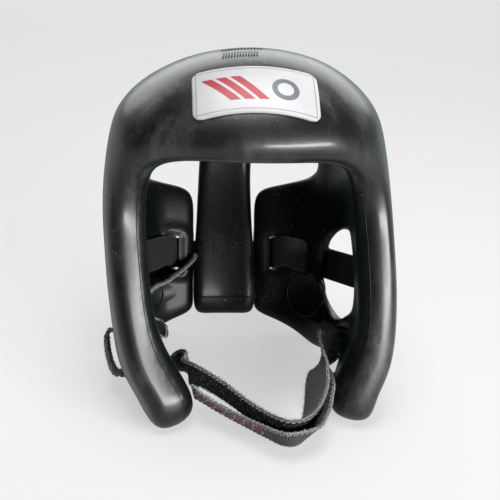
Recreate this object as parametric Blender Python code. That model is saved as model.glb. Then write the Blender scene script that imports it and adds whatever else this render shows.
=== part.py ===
"""Boxing headgear: a moulded foam shell with cheek guards, rear wings and a nape pad,
an elastic rear strap, a chin strap and a plain forehead label.

Metres, +Z up, the face towards -Y. The shell is laid out in the head's own frame, whose origin is
the middle of the head at brow height, and is then set down as it stands on a table: on both cheek
tips and on the hem behind the ears. The origin is under the middle of the whole, on the table.
"""

import math

import bmesh
import bpy
from mathutils import Matrix, Vector
from mathutils.bvhtree import BVHTree

# Driving dimensions of the hollow for the head
HEAD_HALF_WIDTH = 0.080
HEAD_FRONT = 0.096
HEAD_BACK = 0.086
CROWN_HEIGHT = 0.074
FRONT_SQUARENESS = 2.3
BACK_SQUARENESS = 3.4
CROWN_ROUNDNESS = 2.35

# How far the shell hangs down from the brow, and how it bends there
CHEEK_DROP = 0.176
SHOULDER_HEIGHT = 0.030
CHIN_CURL = 0.031
CURL_BACK_SHARE = 0.2
CURL_FADE_FROM, CURL_FADE_TO = 100, 150
CHEEK_LEAN = 0.014
CROWN_LEAN = 0.006

# Foam thicknesses
CHEEK_FOAM = 0.028
CROWN_FOAM = 0.018
TIP_FOAM = 0.033
PAD_FOAM = 0.012
PAD_HALF_WIDTH = 0.022

# Webbing, elastic and label
STRAP_WIDTH = 0.025
STRAP_THICKNESS = 0.0022
STRAP_GAP = 0.0003
LAYER_STEP = 0.0036
LAYER_DROP = 0.0025
STRAP_CLEARANCE = 0.0009
HEM_CLEARANCE = 0.0016
SLOT_CLEARANCE = 0.0020
SLOT_OVERRUN = 0.006
STATION_STEP = 0.007
ROW_STEP_DEGREES, FREE_SPAN_DEGREES = 6, 30
HEM_PROBE = 0.7
LABEL_WIDTH = 0.081
LABEL_HEIGHT = 0.037
LABEL_ARCH = 0.002
LABEL_CORNER = 0.006
LABEL_THICKNESS = 0.0010
LABEL_SEAT = 0.0008
LABEL_RISE = 0.046
LABEL_COLUMNS, LABEL_ROWS, LABEL_CORNER_STEPS = 16, 6, 4

# Round dishes in the wings' inner faces
DISH_RADIUS = 0.016
DISH_DEPTH = 0.0035
DISH_AZIMUTH, DISH_HEIGHT = 138, -0.53

# Rays that look for the shell's faces start this far out
FAR = 4 * HEAD_FRONT

# Grid of the shell: columns run from the middle of the forehead round to the end of a wing, rows
# from the crown's rear edge down to the hem. The pad's rows go on over the crown and down the back.
CROWN_ROWS = 6
SHOULDER, BROW, EAR_TOP, EAR_LOW, HEM = 0, 1, 2, 4, 7
PAD_COLUMN, RIM, EAR_FRONT, EAR_BACK, WING_END = 2, 5, 8, 11, 14
EAR_CORNER = 5.0

# azimuth: degrees from straight ahead. top, ear_top, ear_low and hem: heights of those rows from
# the brow, as shares of CHEEK_DROP. side and back: degrees from straight up that aim the upper end
# of the column at the crown's rear edge. foam: thickness as a share of CHEEK_FOAM.
COLUMNS = [
    dict(azimuth=0, top=0.010, side=0, back=24, foam=0.90),
    dict(azimuth=12, top=0.012, side=6, back=24, foam=0.90),
    dict(azimuth=24, top=0.020, side=11, back=24, foam=0.92),
    dict(azimuth=35, top=0.015, side=14, back=25, foam=0.94),
    dict(azimuth=45, top=-0.020, side=17, back=27, foam=0.96),
    dict(azimuth=53, top=-0.115, ear_top=-0.29, ear_low=-0.58, hem=-0.91, side=20, back=29, foam=1.00),
    dict(azimuth=64, top=-0.085, ear_top=-0.28, ear_low=-0.58, hem=-1.00, side=23, back=31, foam=1.00),
    dict(azimuth=75, top=-0.040, ear_top=-0.27, ear_low=-0.58, hem=-0.91, side=26, back=33, foam=0.90),
    dict(azimuth=87, top=0.000, ear_top=-0.29, ear_low=-0.55, hem=-0.715, side=29, back=35, foam=0.62),
    dict(azimuth=101, top=0.035, ear_top=-0.22, ear_low=-0.61, hem=-0.720, side=32, back=37, foam=0.50),
    dict(azimuth=116, top=0.060, ear_top=-0.22, ear_low=-0.61, hem=-0.750, side=35, back=40, foam=0.46),
    dict(azimuth=130, top=0.060, ear_top=-0.29, ear_low=-0.55, hem=-0.755, side=39, back=45, foam=0.43),
    dict(azimuth=141, top=0.030, ear_top=-0.22, ear_low=-0.43, hem=-0.705, foam=0.43),
    dict(azimuth=152, top=0.005, ear_top=-0.18, ear_low=-0.41, hem=-0.65, foam=0.43),
    dict(azimuth=161.5, top=-0.020, ear_top=-0.17, ear_low=-0.40, hem=-0.61, foam=0.43),
]

# Chin curl: depth below the brow as a share of CHEEK_DROP, and how far in as a share of CHIN_CURL
CURL = [
    dict(depth=0.00, share=0.00),
    dict(depth=0.54, share=0.00),
    dict(depth=0.66, share=0.15),
    dict(depth=0.77, share=0.50),
    dict(depth=0.88, share=0.90),
    dict(depth=1.20, share=1.00),
]

# Nape pad. aim: degrees from straight up to the back. depth: below the brow, as a share of
# CHEEK_DROP. width: share of PAD_HALF_WIDTH. inner and outer: foam as shares of PAD_FOAM.
PAD = [
    dict(aim=38, width=1.00, inner=0.00, outer=1.20),
    dict(aim=52, width=1.00, inner=0.00, outer=1.00),
    dict(aim=68, width=1.00, inner=0.08, outer=1.00),
    dict(aim=84, width=1.00, inner=0.16, outer=1.00),
    dict(depth=0.12, width=1.03, inner=0.25, outer=0.90),
    dict(depth=0.24, width=1.08, inner=0.50, outer=0.85),
    dict(depth=0.37, width=1.12, inner=0.66, outer=0.85),
    dict(depth=0.51, width=1.15, inner=0.75, outer=0.85),
    dict(depth=0.62, width=1.08, inner=0.35, outer=0.70),
]

# Routes of the straps. A wall row lies at an azimuth in degrees (the wearer's right is negative) and
# a depth below the brow as a share of CHEEK_DROP; through is 0 on the inner face and 1 on the outer,
# lift is how far off it and aside how far along it, as shares of STRAP_WIDTH, and turn is how far the
# width is turned from upright. Rows with slot=1 are cut through the foam, and a piece of webbing ends at a row with end=1.
# A hem row passes under the hem at its azimuth, inward being how far in from its middle as a share of
# STRAP_WIDTH. A free row is a point as shares of
# HEAD_HALF_WIDTH, HEAD_FRONT and STRAP_WIDTH from the middle of the table, with the way its width runs.
REAR_HALF = [
    dict(azimuth=180, depth=0.36, through=1, lift=0.06),
    dict(azimuth=168, depth=0.36, through=1, lift=0.06),
    dict(azimuth=160, depth=0.365, through=1),
    dict(azimuth=156, depth=0.365, through=1, slot=1),
    dict(azimuth=148, depth=0.37, through=0, slot=1),
    dict(azimuth=145, depth=0.37, through=0),
    dict(azimuth=142, depth=0.375, through=0),
    dict(azimuth=139, depth=0.375, through=0, slot=1),
    dict(azimuth=131.5, depth=0.38, through=1, slot=1),
    dict(azimuth=129, depth=0.385, through=1, lift=0.06),
    dict(azimuth=84, depth=0.42, through=1, lift=0.06),
    dict(azimuth=72, depth=0.42, through=1),
]
CHIN_LEFT = [
    dict(azimuth=-160.5, depth=0.39, through=0.45, aside=-0.13),
    dict(azimuth=-160.5, depth=0.39, through=-0.60, aside=-0.13),
    dict(x=-0.50, y=0.36, z=2.05, width=(-0.45, 0.2, -0.85)),
    dict(x=-0.66, y=0.20, z=1.78, width=(-0.51, 0.2, -0.83)),
    dict(x=-0.80, y=0.00, z=1.55, width=(-0.45, 0.3, -0.8)),
    dict(azimuth=-98, depth=0.67, through=0, lift=0.25, turn=70),
    dict(azimuth=-94, depth=0.655, through=0.05, turn=90, slot=1),
    dict(azimuth=-94, depth=0.635, through=0.95, turn=90, slot=1),
    dict(azimuth=-93, depth=0.635, through=1, lift=0.30, turn=90),
    dict(azimuth=-92, depth=0.68, through=1, lift=0.48, turn=90),
    dict(hem=-91, inward=-0.68),
    dict(hem=-91),
    dict(hem=-91, inward=0.65),
]
CHIN_FRONT = [
    dict(x=-0.50, y=-0.64, z=0.62, width=(0.1, -0.6, 0.8)),
    dict(x=-0.50, y=-0.85, z=0.98, width=(0.1, -0.3, 0.95)),
    dict(x=-0.44, y=-0.895, z=0.97, width=(0.05, -0.15, 1)),
    dict(x=-0.37, y=-0.94, z=0.93, width=(0, 0, 1)),
    dict(x=-0.19, y=-1.03, z=0.68, width=(0, 0, 1)),
    dict(x=0.02, y=-1.17, z=0.54, width=(0, 0, 1)),
    dict(x=0.18, y=-1.33, z=0.53, width=(0, 0, 1)),
    dict(x=0.35, y=-1.44, z=0.53, width=(0, 0, 1)),
    dict(x=0.49, y=-1.41, z=0.53, width=(0, 0, 1)),
    dict(x=0.60, y=-1.24, z=0.56, width=(0, 0, 1)),
    dict(x=0.69, y=-1.00, z=0.80, width=(0, 0.1, 1)),
    dict(x=0.64, y=-0.82, z=1.15, width=(0, 0.4, 0.9)),
]
CHIN_RIGHT = [
    dict(x=0.69, y=-0.66, z=1.46, width=(0, 0.7, 0.7)),
    dict(azimuth=94, depth=0.67, through=0, lift=0.30, turn=90),
    dict(azimuth=94, depth=0.655, through=0.05, turn=90, slot=1),
    dict(azimuth=94, depth=0.635, through=0.95, turn=90, slot=1),
    dict(azimuth=93.5, depth=0.642, through=1, lift=0.30, turn=90),
    dict(azimuth=92, depth=0.68, through=1, lift=0.48, turn=90),
    dict(hem=91, inward=-0.68),
    dict(hem=91, end=1),
    dict(hem=91, inward=0.55),
    dict(x=0.80, y=-0.80, z=0.55, width=(0, 0.4, 0.9)),
]
# The end that folds back runs outside the front stretch, from its row BACK_FROM to BACK_TO, and turns
# from elastic into a sewn tab at BACK_SPLIT.
BACK_FROM, BACK_SPLIT, BACK_TO = 10, 6, 2
# A band that stands on its edge has its middle this high, as a share of STRAP_WIDTH
LOWEST_Z = 0.53


def remove_everything():
    for found in list(bpy.data.objects):
        bpy.data.objects.remove(found, do_unlink=True)


def plan_radius(direction, squareness_share=1.0):
    """Distance from the head's axis to the hollow's wall, level, in that direction."""
    x, y = abs(direction.x), direction.y
    length, power = (HEAD_FRONT, FRONT_SQUARENESS) if y < 0 else (HEAD_BACK, BACK_SQUARENESS)
    power = 2 + (power - 2) * squareness_share
    share = (x / HEAD_HALF_WIDTH) ** power + (abs(y) / length) ** power
    return share ** (-1 / power)


def wall_point(azimuth, height):
    """A point of the hollow's wall by azimuth in degrees and height above the brow."""
    angle = math.radians(azimuth)
    direction = Vector((math.sin(angle), -math.cos(angle), 0))
    if height > 0:
        rise = height / CROWN_HEIGHT
        reach = plan_radius(direction, 1 - rise)
        reach *= (1 - rise**CROWN_ROUNDNESS) ** (1 / CROWN_ROUNDNESS)
    else:
        reach = plan_radius(direction)
    return direction * reach + Vector((0, 0, height))


def crown_point(direction):
    """The point of the hollow's crown in that direction from the head's middle."""
    level = Vector((direction.x, direction.y, 0))
    across = 0.0
    if level.length > 1e-9:
        across = level.length / plan_radius(level.normalized(), 1 - min(1.0, direction.z))
    share = across**CROWN_ROUNDNESS + (direction.z / CROWN_HEIGHT) ** CROWN_ROUNDNESS
    return direction * share ** (-1 / CROWN_ROUNDNESS)


def between(table, key, at, value):
    """Straight reading of a table's named column at a place between its rows."""
    for low, high in zip(table, table[1:]):
        if at <= high[key]:
            t = max(0.0, (at - low[key]) / (high[key] - low[key]))
            return low[value] + (high[value] - low[value]) * t
    return table[-1][value]


def is_foam(column, row):
    """Whether the cell from column to column + 1 and from row to row + 1 is filled."""
    cell = column if column >= 0 else -column - 1
    if row < -CROWN_ROWS:
        return cell < PAD_COLUMN
    if row < BROW:
        return cell < EAR_BACK
    ear_hole = EAR_FRONT <= cell < EAR_BACK and EAR_TOP <= row < EAR_LOW
    return cell >= RIM and not ear_hole


def row_height(form, row):
    """Height of a row below the shoulder, in one column."""
    knots = [(BROW, "top"), (EAR_TOP, "ear_top"), (EAR_LOW, "ear_low"), (HEM, "hem")]
    for (above, high), (below, low) in zip(knots, knots[1:]):
        if row <= below:
            t = (row - above) / (below - above)
            return CHEEK_DROP * (form[high] + (form[low] - form[high]) * t)


def column_path(form, row):
    """A point of the crown part of a column, from its shoulder up to the crown's rear edge."""
    base = wall_point(form["azimuth"], SHOULDER_HEIGHT).normalized()
    side, back = math.radians(form["side"]), math.radians(form["back"])
    end = Vector((math.sin(side), math.cos(side) * math.sin(back), math.cos(side) * math.cos(back)))
    return crown_point(base.slerp(end, -row / CROWN_ROWS))


def bend(point, azimuth):
    """Curl the cheeks in towards the chin."""
    depth = max(0.0, -point.z / CHEEK_DROP)
    fade = min(1.0, max(0.0, (CURL_FADE_TO - azimuth) / (CURL_FADE_TO - CURL_FADE_FROM)))
    inward = Vector((-point.x, -CURL_BACK_SHARE * point.y, 0)).normalized()
    return point + inward * CHIN_CURL * between(CURL, "depth", depth, "share") * fade


def lean(point):
    """The foam as it stands has sagged a little to the wearer's left, above and below the brow."""
    fade = min(1.0, max(0.0, 0.5 - point.y / HEAD_BACK))
    aside = CHEEK_LEAN * max(0.0, -point.z / CHEEK_DROP) * fade
    aside += CROWN_LEAN * max(0.0, point.z / CROWN_HEIGHT) ** 2
    return point + Vector((aside, 0, 0))


def pad_point(column, step):
    form = PAD[step - 1]
    if "aim" in form:
        aim = math.radians(form["aim"])
        point = crown_point(Vector((0, math.sin(aim), math.cos(aim))))
    else:
        point = wall_point(180, -form["depth"] * CHEEK_DROP)
    return Vector((PAD_HALF_WIDTH * form["width"] * column / PAD_COLUMN, point.y, point.z))


def sheet_point(column, row):
    """Inner point of the shell at a grid corner, in the head's frame."""
    if row < -CROWN_ROWS:
        return pad_point(column, -CROWN_ROWS - row)
    form = COLUMNS[abs(column)]
    if row < SHOULDER:
        point = column_path(form, row)
    elif row == SHOULDER:
        point = wall_point(form["azimuth"], SHOULDER_HEIGHT)
    else:
        azimuth = form["azimuth"]
        if row in (EAR_TOP, EAR_LOW) and abs(column) in (EAR_FRONT, EAR_BACK):
            azimuth += EAR_CORNER if abs(column) == EAR_FRONT else -EAR_CORNER
        height = form["top"] * CHEEK_DROP if row == BROW else row_height(form, row)
        point = bend(wall_point(azimuth, height), azimuth)
    point.x *= -1 if column < 0 else 1
    return lean(point)


def foam_at(column, row):
    """Foam inward and outward of the sheet at a grid corner."""
    if row < -CROWN_ROWS:
        form = PAD[-CROWN_ROWS - row - 1]
        return form["inner"] * PAD_FOAM, form["outer"] * PAD_FOAM
    foam = COLUMNS[abs(column)]["foam"] * CHEEK_FOAM
    if row < SHOULDER:
        foam += (CROWN_FOAM - foam) * -row / CROWN_ROWS
    if row > EAR_LOW and abs(column) < EAR_FRONT:
        foam = max(foam, TIP_FOAM)
    return 0.0, foam


def new_object(name, mesh):
    made = bpy.data.objects.new(name, mesh)
    bpy.context.scene.collection.objects.link(made)
    return made


def build_shell():
    """The sheet is laid out corner by corner, thickened outwards and rounded."""
    sheet = bmesh.new()
    corners = {}
    for row in range(-CROWN_ROWS - len(PAD), HEM):
        for column in range(-WING_END, WING_END):
            if not is_foam(column, row):
                continue
            keys = [(column, row), (column + 1, row), (column + 1, row + 1), (column, row + 1)]
            for key in keys:
                if key not in corners:
                    corners[key] = sheet.verts.new(sheet_point(*key))
            sheet.faces.new([corners[key] for key in keys])
    sheet.normal_update()
    shell = bmesh.new()
    inner, outer = {}, {}
    for key, corner in corners.items():
        normal = corner.normal.copy()
        if normal.dot(Vector((corner.co.x, corner.co.y, max(0.0, corner.co.z)))) < 0:
            normal.negate()
        inward, outward = foam_at(*key)
        inner[corner] = shell.verts.new(corner.co - normal * inward)
        outer[corner] = shell.verts.new(corner.co + normal * outward)
    for face in sheet.faces:
        shell.faces.new([outer[v] for v in face.verts])
        shell.faces.new([inner[v] for v in reversed(face.verts)])
    for edge in sheet.edges:
        if edge.is_boundary:
            loop = edge.link_loops[0]
            a, b = loop.vert, loop.link_loop_next.vert
            shell.faces.new([inner[a], inner[b], outer[b], outer[a]])
    bmesh.ops.recalc_face_normals(shell, faces=shell.faces)
    for face in shell.faces:
        face.smooth = True
    mesh = bpy.data.meshes.new("shell")
    shell.to_mesh(mesh)
    shell.free()
    sheet.free()
    made = new_object("shell", mesh)
    smooth = made.modifiers.new("Rounding", "SUBSURF")
    smooth.levels = smooth.render_levels = 1
    return made


def shown_mesh(made):
    """A copy of an object's mesh as it shows, with its modifiers."""
    shown = made.evaluated_get(bpy.context.evaluated_depsgraph_get())
    return bpy.data.meshes.new_from_object(shown)


def surface_tree(made):
    shown = bmesh.new()
    shown.from_mesh(shown_mesh(made))
    tree = BVHTree.FromBMesh(shown)
    shown.free()
    return tree


def resting_tilt(points):
    """Angle about X at which the lowest points in front and behind are level."""
    front = [p for p in points if p.y < 0]
    back = [p for p in points if p.y > 0]
    low, high = math.radians(-60), math.radians(10)
    for _ in range(40):
        angle = (low + high) / 2
        turn = Matrix.Rotation(angle, 3, "X")
        if min((turn @ p).z for p in front) > min((turn @ p).z for p in back):
            low = angle
        else:
            high = angle
    return angle


def wall_hit(tree, azimuth, height, outer):
    """Where a level ray from the head's axis meets the inner face, or one from outside the outer."""
    angle = math.radians(azimuth)
    outward = Vector((math.sin(angle), -math.cos(angle), 0))
    axis = Vector((0, 0, height))
    start, way = (axis + outward * FAR, -outward) if outer else (axis, outward)
    return tree.ray_cast(start, way, FAR)[0]


def wall_face(tree, row, outer, thickness):
    """Middle of a band that lies on one face of the wall, and the way its width runs."""
    height = -row["depth"] * CHEEK_DROP
    half = STRAP_WIDTH / 2 * math.cos(math.radians(row.get("turn", 0))) + STRAP_THICKNESS
    hits = [wall_hit(tree, row["azimuth"], height + rise, outer) for rise in (half, 0, -half)]
    hits = [hit for hit in hits if hit is not None]
    top, middle, low = hits[0], hits[len(hits) // 2], hits[-1]
    upward = (top - low).normalized()
    angle = math.radians(row["azimuth"])
    along = Vector((math.cos(angle), math.sin(angle), 0))
    outward = Vector((math.sin(angle), -math.cos(angle), 0))
    outward = (outward - upward * outward.dot(upward)).normalized()
    side = 1 if outer else -1
    base = (top + low) / 2
    proud = max(0.0, side * (middle - base).dot(outward))
    reach = proud + STRAP_CLEARANCE + thickness / 2 + row.get("lift", 0) * STRAP_WIDTH
    turn = Matrix.Rotation(math.radians(row.get("turn", 0)), 3, outward)
    base += along * row.get("aside", 0) * STRAP_WIDTH
    return base + outward * side * reach, turn @ upward


def wall_station(tree, row, thickness):
    inside, width_in = wall_face(tree, row, False, thickness)
    outside, width_out = wall_face(tree, row, True, thickness)
    through = row["through"]
    return inside.lerp(outside, through), width_in.lerp(width_out, through).normalized()


def hem_station(tree, row, thickness):
    """A band's middle where it passes under the hem."""
    azimuth = row["hem"]
    angle = math.radians(azimuth)
    along = Vector((math.cos(angle), math.sin(angle), 0))
    height = -HEM_PROBE * CHEEK_DROP
    reach = (wall_hit(tree, azimuth, height, False) + wall_hit(tree, azimuth, height, True)) / 2
    lows = []
    for aside in (-STRAP_WIDTH / 2, 0, STRAP_WIDTH / 2):
        start = Vector((reach.x, reach.y, -FAR)) + along * aside
        found = tree.ray_cast(start, Vector((0, 0, 1)), FAR)[0]
        if found is not None:
            lows.append(found.z)
    low = min(lows) - HEM_CLEARANCE - thickness / 2
    inward = Vector((-math.sin(angle), math.cos(angle), 0)) * row.get("inward", 0) * STRAP_WIDTH
    return Vector((reach.x, reach.y, low)) + inward, along


def shifted_front():
    """The front stretch run backwards, a layer further out and a little lower."""
    rows = []
    for k in range(BACK_FROM, BACK_TO - 1, -1):
        before, here, after = CHIN_FRONT[k - 1], CHIN_FRONT[k], CHIN_FRONT[k + 1]
        run_x = (after["x"] - before["x"]) * HEAD_HALF_WIDTH
        run_y = (after["y"] - before["y"]) * HEAD_FRONT
        step = LAYER_STEP / math.hypot(run_x, run_y)
        row = dict(here)
        row["x"] += run_y * step / HEAD_HALF_WIDTH
        row["y"] -= run_x * step / HEAD_FRONT
        row["z"] = max(min(here["z"], LOWEST_Z), here["z"] - LAYER_DROP / STRAP_WIDTH)
        if k == BACK_SPLIT:
            row["end"] = 1
        rows.append(row)
    return rows


def filled_rows(rows):
    """Wall rows with more of them laid between neighbours, so that a band follows the curve."""
    filled = [rows[0]]
    for before, after in zip(rows, rows[1:]):
        if "depth" in before and "depth" in after:
            wide = abs(after["azimuth"] - before["azimuth"])
            steps = max(1, round(wide / ROW_STEP_DEGREES)) if wide < FREE_SPAN_DEGREES else 1
            for step in range(1, steps):
                t = step / steps
                row = {}
                for key in ("azimuth", "depth", "through", "lift", "aside", "turn", "slot"):
                    first, last = before.get(key, 0), after.get(key, 0)
                    row[key] = first + (last - first) * t
                filled.append(row)
        filled.append(after)
    return filled


def control_stations(tree, rows, placing, thickness):
    """Middle and width direction of a band at each row of its route, as it stands."""
    stations = []
    for row in filled_rows(rows):
        if "x" in row:
            middle = Vector((row["x"] * HEAD_HALF_WIDTH, row["y"] * HEAD_FRONT, row["z"] * STRAP_WIDTH))
            width = Vector(row["width"]).normalized()
        else:
            if "hem" in row:
                middle, width = hem_station(tree, row, thickness)
            else:
                middle, width = wall_station(tree, row, thickness)
            middle = placing @ middle
            width = placing.to_3x3() @ width
        if stations and width.dot(stations[-1][1]) < 0:
            width.negate()
        stations.append((middle, width, row.get("slot", 0), row.get("end", 0)))
    return stations


def curve_value(p0, p1, p2, p3, t):
    """Catmull-Rom curve between p1 and p2."""
    straight = 2 * p1 + (p2 - p0) * t
    bent = (2 * p0 - 5 * p1 + 4 * p2 - p3) * t**2 + (3 * p1 - p0 - 3 * p2 + p3) * t**3
    return (straight + bent) / 2


def smooth_stations(stations):
    places = [stations[0]] + stations + [stations[-1]]
    smooth = []
    for a, b, c, d in zip(places, places[1:], places[2:], places[3:]):
        steps = max(1, round((c[0] - b[0]).length / STATION_STEP))
        for step in range(steps):
            t = step / steps
            middle = curve_value(a[0], b[0], c[0], d[0], t)
            smooth.append((middle, b[1].slerp(c[1], t), b[2] * (1 - t) + c[2] * t, b[3] if step == 0 else 0))
    smooth.append(stations[-1])
    ways = [(c[0] - a[0]).normalized() for a, c in zip([smooth[0]] + smooth, smooth[1:] + [smooth[-1]])]
    return [(*station, way) for station, way in zip(smooth, ways)]


def split_at_ends(stations):
    """Pieces of webbing with a small gap between them where one ends and the next is sewn on."""
    pieces = [[]]
    for k, station in enumerate(stations):
        pieces[-1].append(station)
        if station[3] and 0 < k < len(stations) - 1:
            pieces.append([(station[0] + station[4] * STRAP_GAP, *station[1:])])
    return pieces


def slot_stretches(stations):
    """The stretches of a band that run through the foam, and a little out of it at both ends."""
    stretches = []
    inside = False
    for station in stations:
        if station[2] > 0.5:
            if not inside:
                stretches.append([])
            stretches[-1].append(station)
        inside = station[2] > 0.5
    for stretch in stretches:
        for k, neighbour, place in ((0, 1, 0), (-1, -2, len(stretch) + 1)):
            way = (stretch[k][0] - stretch[neighbour][0]).normalized()
            stretch.insert(place, (stretch[k][0] + way * SLOT_OVERRUN, *stretch[k][1:]))
    return stretches


def band_mesh(name, stations, width, thickness):
    """A flat band swept along its stations, closed at both ends."""
    band = bmesh.new()
    rings = []
    for middle, across, _, _, along in stations:
        across = (across - along * across.dot(along)).normalized()
        up = along.cross(across)
        corners = [(1, 1), (-1, 1), (-1, -1), (1, -1)]
        ring = [band.verts.new(middle + across * width / 2 * a + up * thickness / 2 * b) for a, b in corners]
        rings.append(ring)
    for first, second in zip(rings, rings[1:]):
        for k in range(4):
            n = (k + 1) % 4
            band.faces.new([first[k], first[n], second[n], second[k]])
    band.faces.new(rings[0])
    band.faces.new(rings[-1])
    bmesh.ops.recalc_face_normals(band, faces=band.faces)
    mesh = bpy.data.meshes.new(name)
    band.to_mesh(mesh)
    band.free()
    return mesh


def add_cut(shell, cutter):
    cutter.hide_render = True
    cutter.display_type = "WIRE"
    cut = shell.modifiers.new("Cut", "BOOLEAN")
    cut.object = cutter
    cut.operation = "DIFFERENCE"


def build_dish(shell, tree, side, placing):
    """A shallow round dish in the inner face of a wing."""
    place = wall_hit(tree, side * DISH_AZIMUTH, DISH_HEIGHT * CHEEK_DROP, False)
    angle = math.radians(side * DISH_AZIMUTH)
    outward = Vector((math.sin(angle), -math.cos(angle), 0))
    radius = (DISH_RADIUS**2 + DISH_DEPTH**2) / (2 * DISH_DEPTH)
    ball = bmesh.new()
    bmesh.ops.create_uvsphere(ball, u_segments=28, v_segments=44, radius=radius)
    mesh = bpy.data.meshes.new("dish_cutter")
    ball.to_mesh(mesh)
    ball.free()
    cutter = new_object("dish_cutter", mesh)
    middle = place - outward * (radius - DISH_DEPTH)
    turn = outward.to_track_quat("Z", "Y").to_matrix().to_4x4()
    cutter.matrix_world = placing @ Matrix.Translation(middle) @ turn
    add_cut(shell, cutter)


def build_label(tree, placing):
    """A thin plate with round corners that follows the forehead."""
    centre = tree.ray_cast(Vector((0, -FAR, LABEL_RISE)), Vector((0, 1, 0)))[0]
    outward = centre.normalized()
    upward = Vector((1, 0, 0)).cross(outward)
    inset = []
    for step in range(LABEL_CORNER_STEPS + 1):
        angle = math.radians(90 * step / LABEL_CORNER_STEPS)
        inset.append((LABEL_CORNER * (1 - math.sin(angle)), LABEL_CORNER * (1 - math.cos(angle))))
    heights = [(LABEL_HEIGHT / 2 - down, aside) for down, aside in inset[::-1]]
    lower = [(-up, aside) for up, aside in heights[::-1]]
    straight = 2 * heights[-1][0] / LABEL_ROWS
    heights += [(heights[-1][0] - straight * row, 0.0) for row in range(1, LABEL_ROWS)] + lower
    tall = len(heights) - 1
    plate = bmesh.new()
    front, back = {}, {}
    for j, (v, aside) in enumerate(heights):
        for i in range(LABEL_COLUMNS + 1):
            u = (2 * i / LABEL_COLUMNS - 1) * (LABEL_WIDTH / 2 - aside)
            drop = LABEL_ARCH * (u / (LABEL_WIDTH / 2)) ** 2
            start = centre + Vector((u, 0, 0)) + upward * (v - drop) + outward * HEAD_FRONT
            hit = tree.ray_cast(start, -outward)[0]
            out = hit.normalized()
            back[i, j] = plate.verts.new(hit + out * LABEL_SEAT)
            front[i, j] = plate.verts.new(hit + out * (LABEL_SEAT + LABEL_THICKNESS))
    for i in range(LABEL_COLUMNS):
        for j in range(tall):
            keys = [(i, j), (i + 1, j), (i + 1, j + 1), (i, j + 1)]
            plate.faces.new([front[key] for key in keys])
            plate.faces.new([back[key] for key in reversed(keys)])
    border = [(i, 0) for i in range(LABEL_COLUMNS)] + [(LABEL_COLUMNS, j) for j in range(tall)]
    border += [(i, tall) for i in range(LABEL_COLUMNS, 0, -1)] + [(0, j) for j in range(tall, 0, -1)]
    for k, key in enumerate(border):
        after = border[(k + 1) % len(border)]
        plate.faces.new([front[key], back[key], back[after], front[after]])
    bmesh.ops.recalc_face_normals(plate, faces=plate.faces)
    mesh = bpy.data.meshes.new("front_label")
    plate.to_mesh(mesh)
    plate.free()
    made = new_object("front_label", mesh)
    made.matrix_world = placing
    return made


PAINTS = {
    "shell": ("foam_skin", (0.020, 0.021, 0.022), 0.35),
    "rear_strap": ("rear_elastic", (0.016, 0.016, 0.017), 0.85),
    "chin_strap": ("loop_webbing", (0.018, 0.018, 0.019), 0.95),
    "chin_elastic": ("ribbed_elastic", (0.016, 0.016, 0.017), 0.80),
    "chin_tab": ("tab_print", (0.45, 0.10, 0.09), 0.60),
    "front_label": ("label_print", (0.80, 0.80, 0.80), 0.40),
}


def paint(made, name, colour, roughness):
    """A plain material of the part's colour."""
    material = bpy.data.materials.new(name)
    material.use_nodes = True
    shader = material.node_tree.nodes["Principled BSDF"]
    shader.inputs["Base Color"].default_value = (*colour, 1)
    shader.inputs["Roughness"].default_value = roughness
    shader.inputs["Metallic"].default_value = 0
    made.data.materials.append(material)


def set_down(solids):
    """Put the middle of the solids over the origin, on the table."""
    places = [made.matrix_world @ v.co for made in solids for v in shown_mesh(made).vertices]
    lows = [min(p[axis] for p in places) for axis in range(3)]
    highs = [max(p[axis] for p in places) for axis in range(3)]
    shift = Vector(((lows[0] + highs[0]) / -2, (lows[1] + highs[1]) / -2, -lows[2]))
    for made in bpy.data.objects:
        made.matrix_world = Matrix.Translation(shift) @ made.matrix_world


def main():
    remove_everything()
    shell = build_shell()
    tree = surface_tree(shell)
    points = [v.co.copy() for v in shown_mesh(shell).vertices]
    turn = Matrix.Rotation(resting_tilt(points), 4, "X")
    lowest = min((turn @ p).z for p in points)
    placing = Matrix.Translation((0, 0, -lowest)) @ turn
    shell.matrix_world = placing
    mirrored = [dict(row, azimuth=-row["azimuth"]) for row in REAR_HALF[1:]]
    chin_rows = CHIN_LEFT + CHIN_FRONT + CHIN_RIGHT + shifted_front()
    routes = [
        (["rear_strap"], mirrored[::-1] + REAR_HALF),
        (["chin_strap", "chin_elastic", "chin_tab"], chin_rows),
    ]
    solids = [shell]
    for names, rows in routes:
        stations = smooth_stations(control_stations(tree, rows, placing, STRAP_THICKNESS))
        for name, piece in zip(names, split_at_ends(stations)):
            solids.append(new_object(name, band_mesh(name, piece, STRAP_WIDTH, STRAP_THICKNESS)))
        for stretch in slot_stretches(stations):
            wide, thick = STRAP_WIDTH + 2 * SLOT_CLEARANCE, STRAP_THICKNESS + 2 * SLOT_CLEARANCE
            add_cut(shell, new_object("slot_cutter", band_mesh("slot_cutter", stretch, wide, thick)))
    for side in (-1, 1):
        build_dish(shell, tree, side, placing)
    solids.append(build_label(tree, placing))
    for made in solids:
        paint(made, *PAINTS[made.name])
    set_down(solids)


main()
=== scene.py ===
"""Look of the boxing headgear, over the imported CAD: the moulded foam shell with its slots, dishes,
parting lines and ribs, the elastic and loop webbing, the sewn tab and the forehead label."""

import math
import random

import bmesh
import bpy
from mathutils import Matrix, Vector, noise
from mathutils.bvhtree import BVHTree


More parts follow.
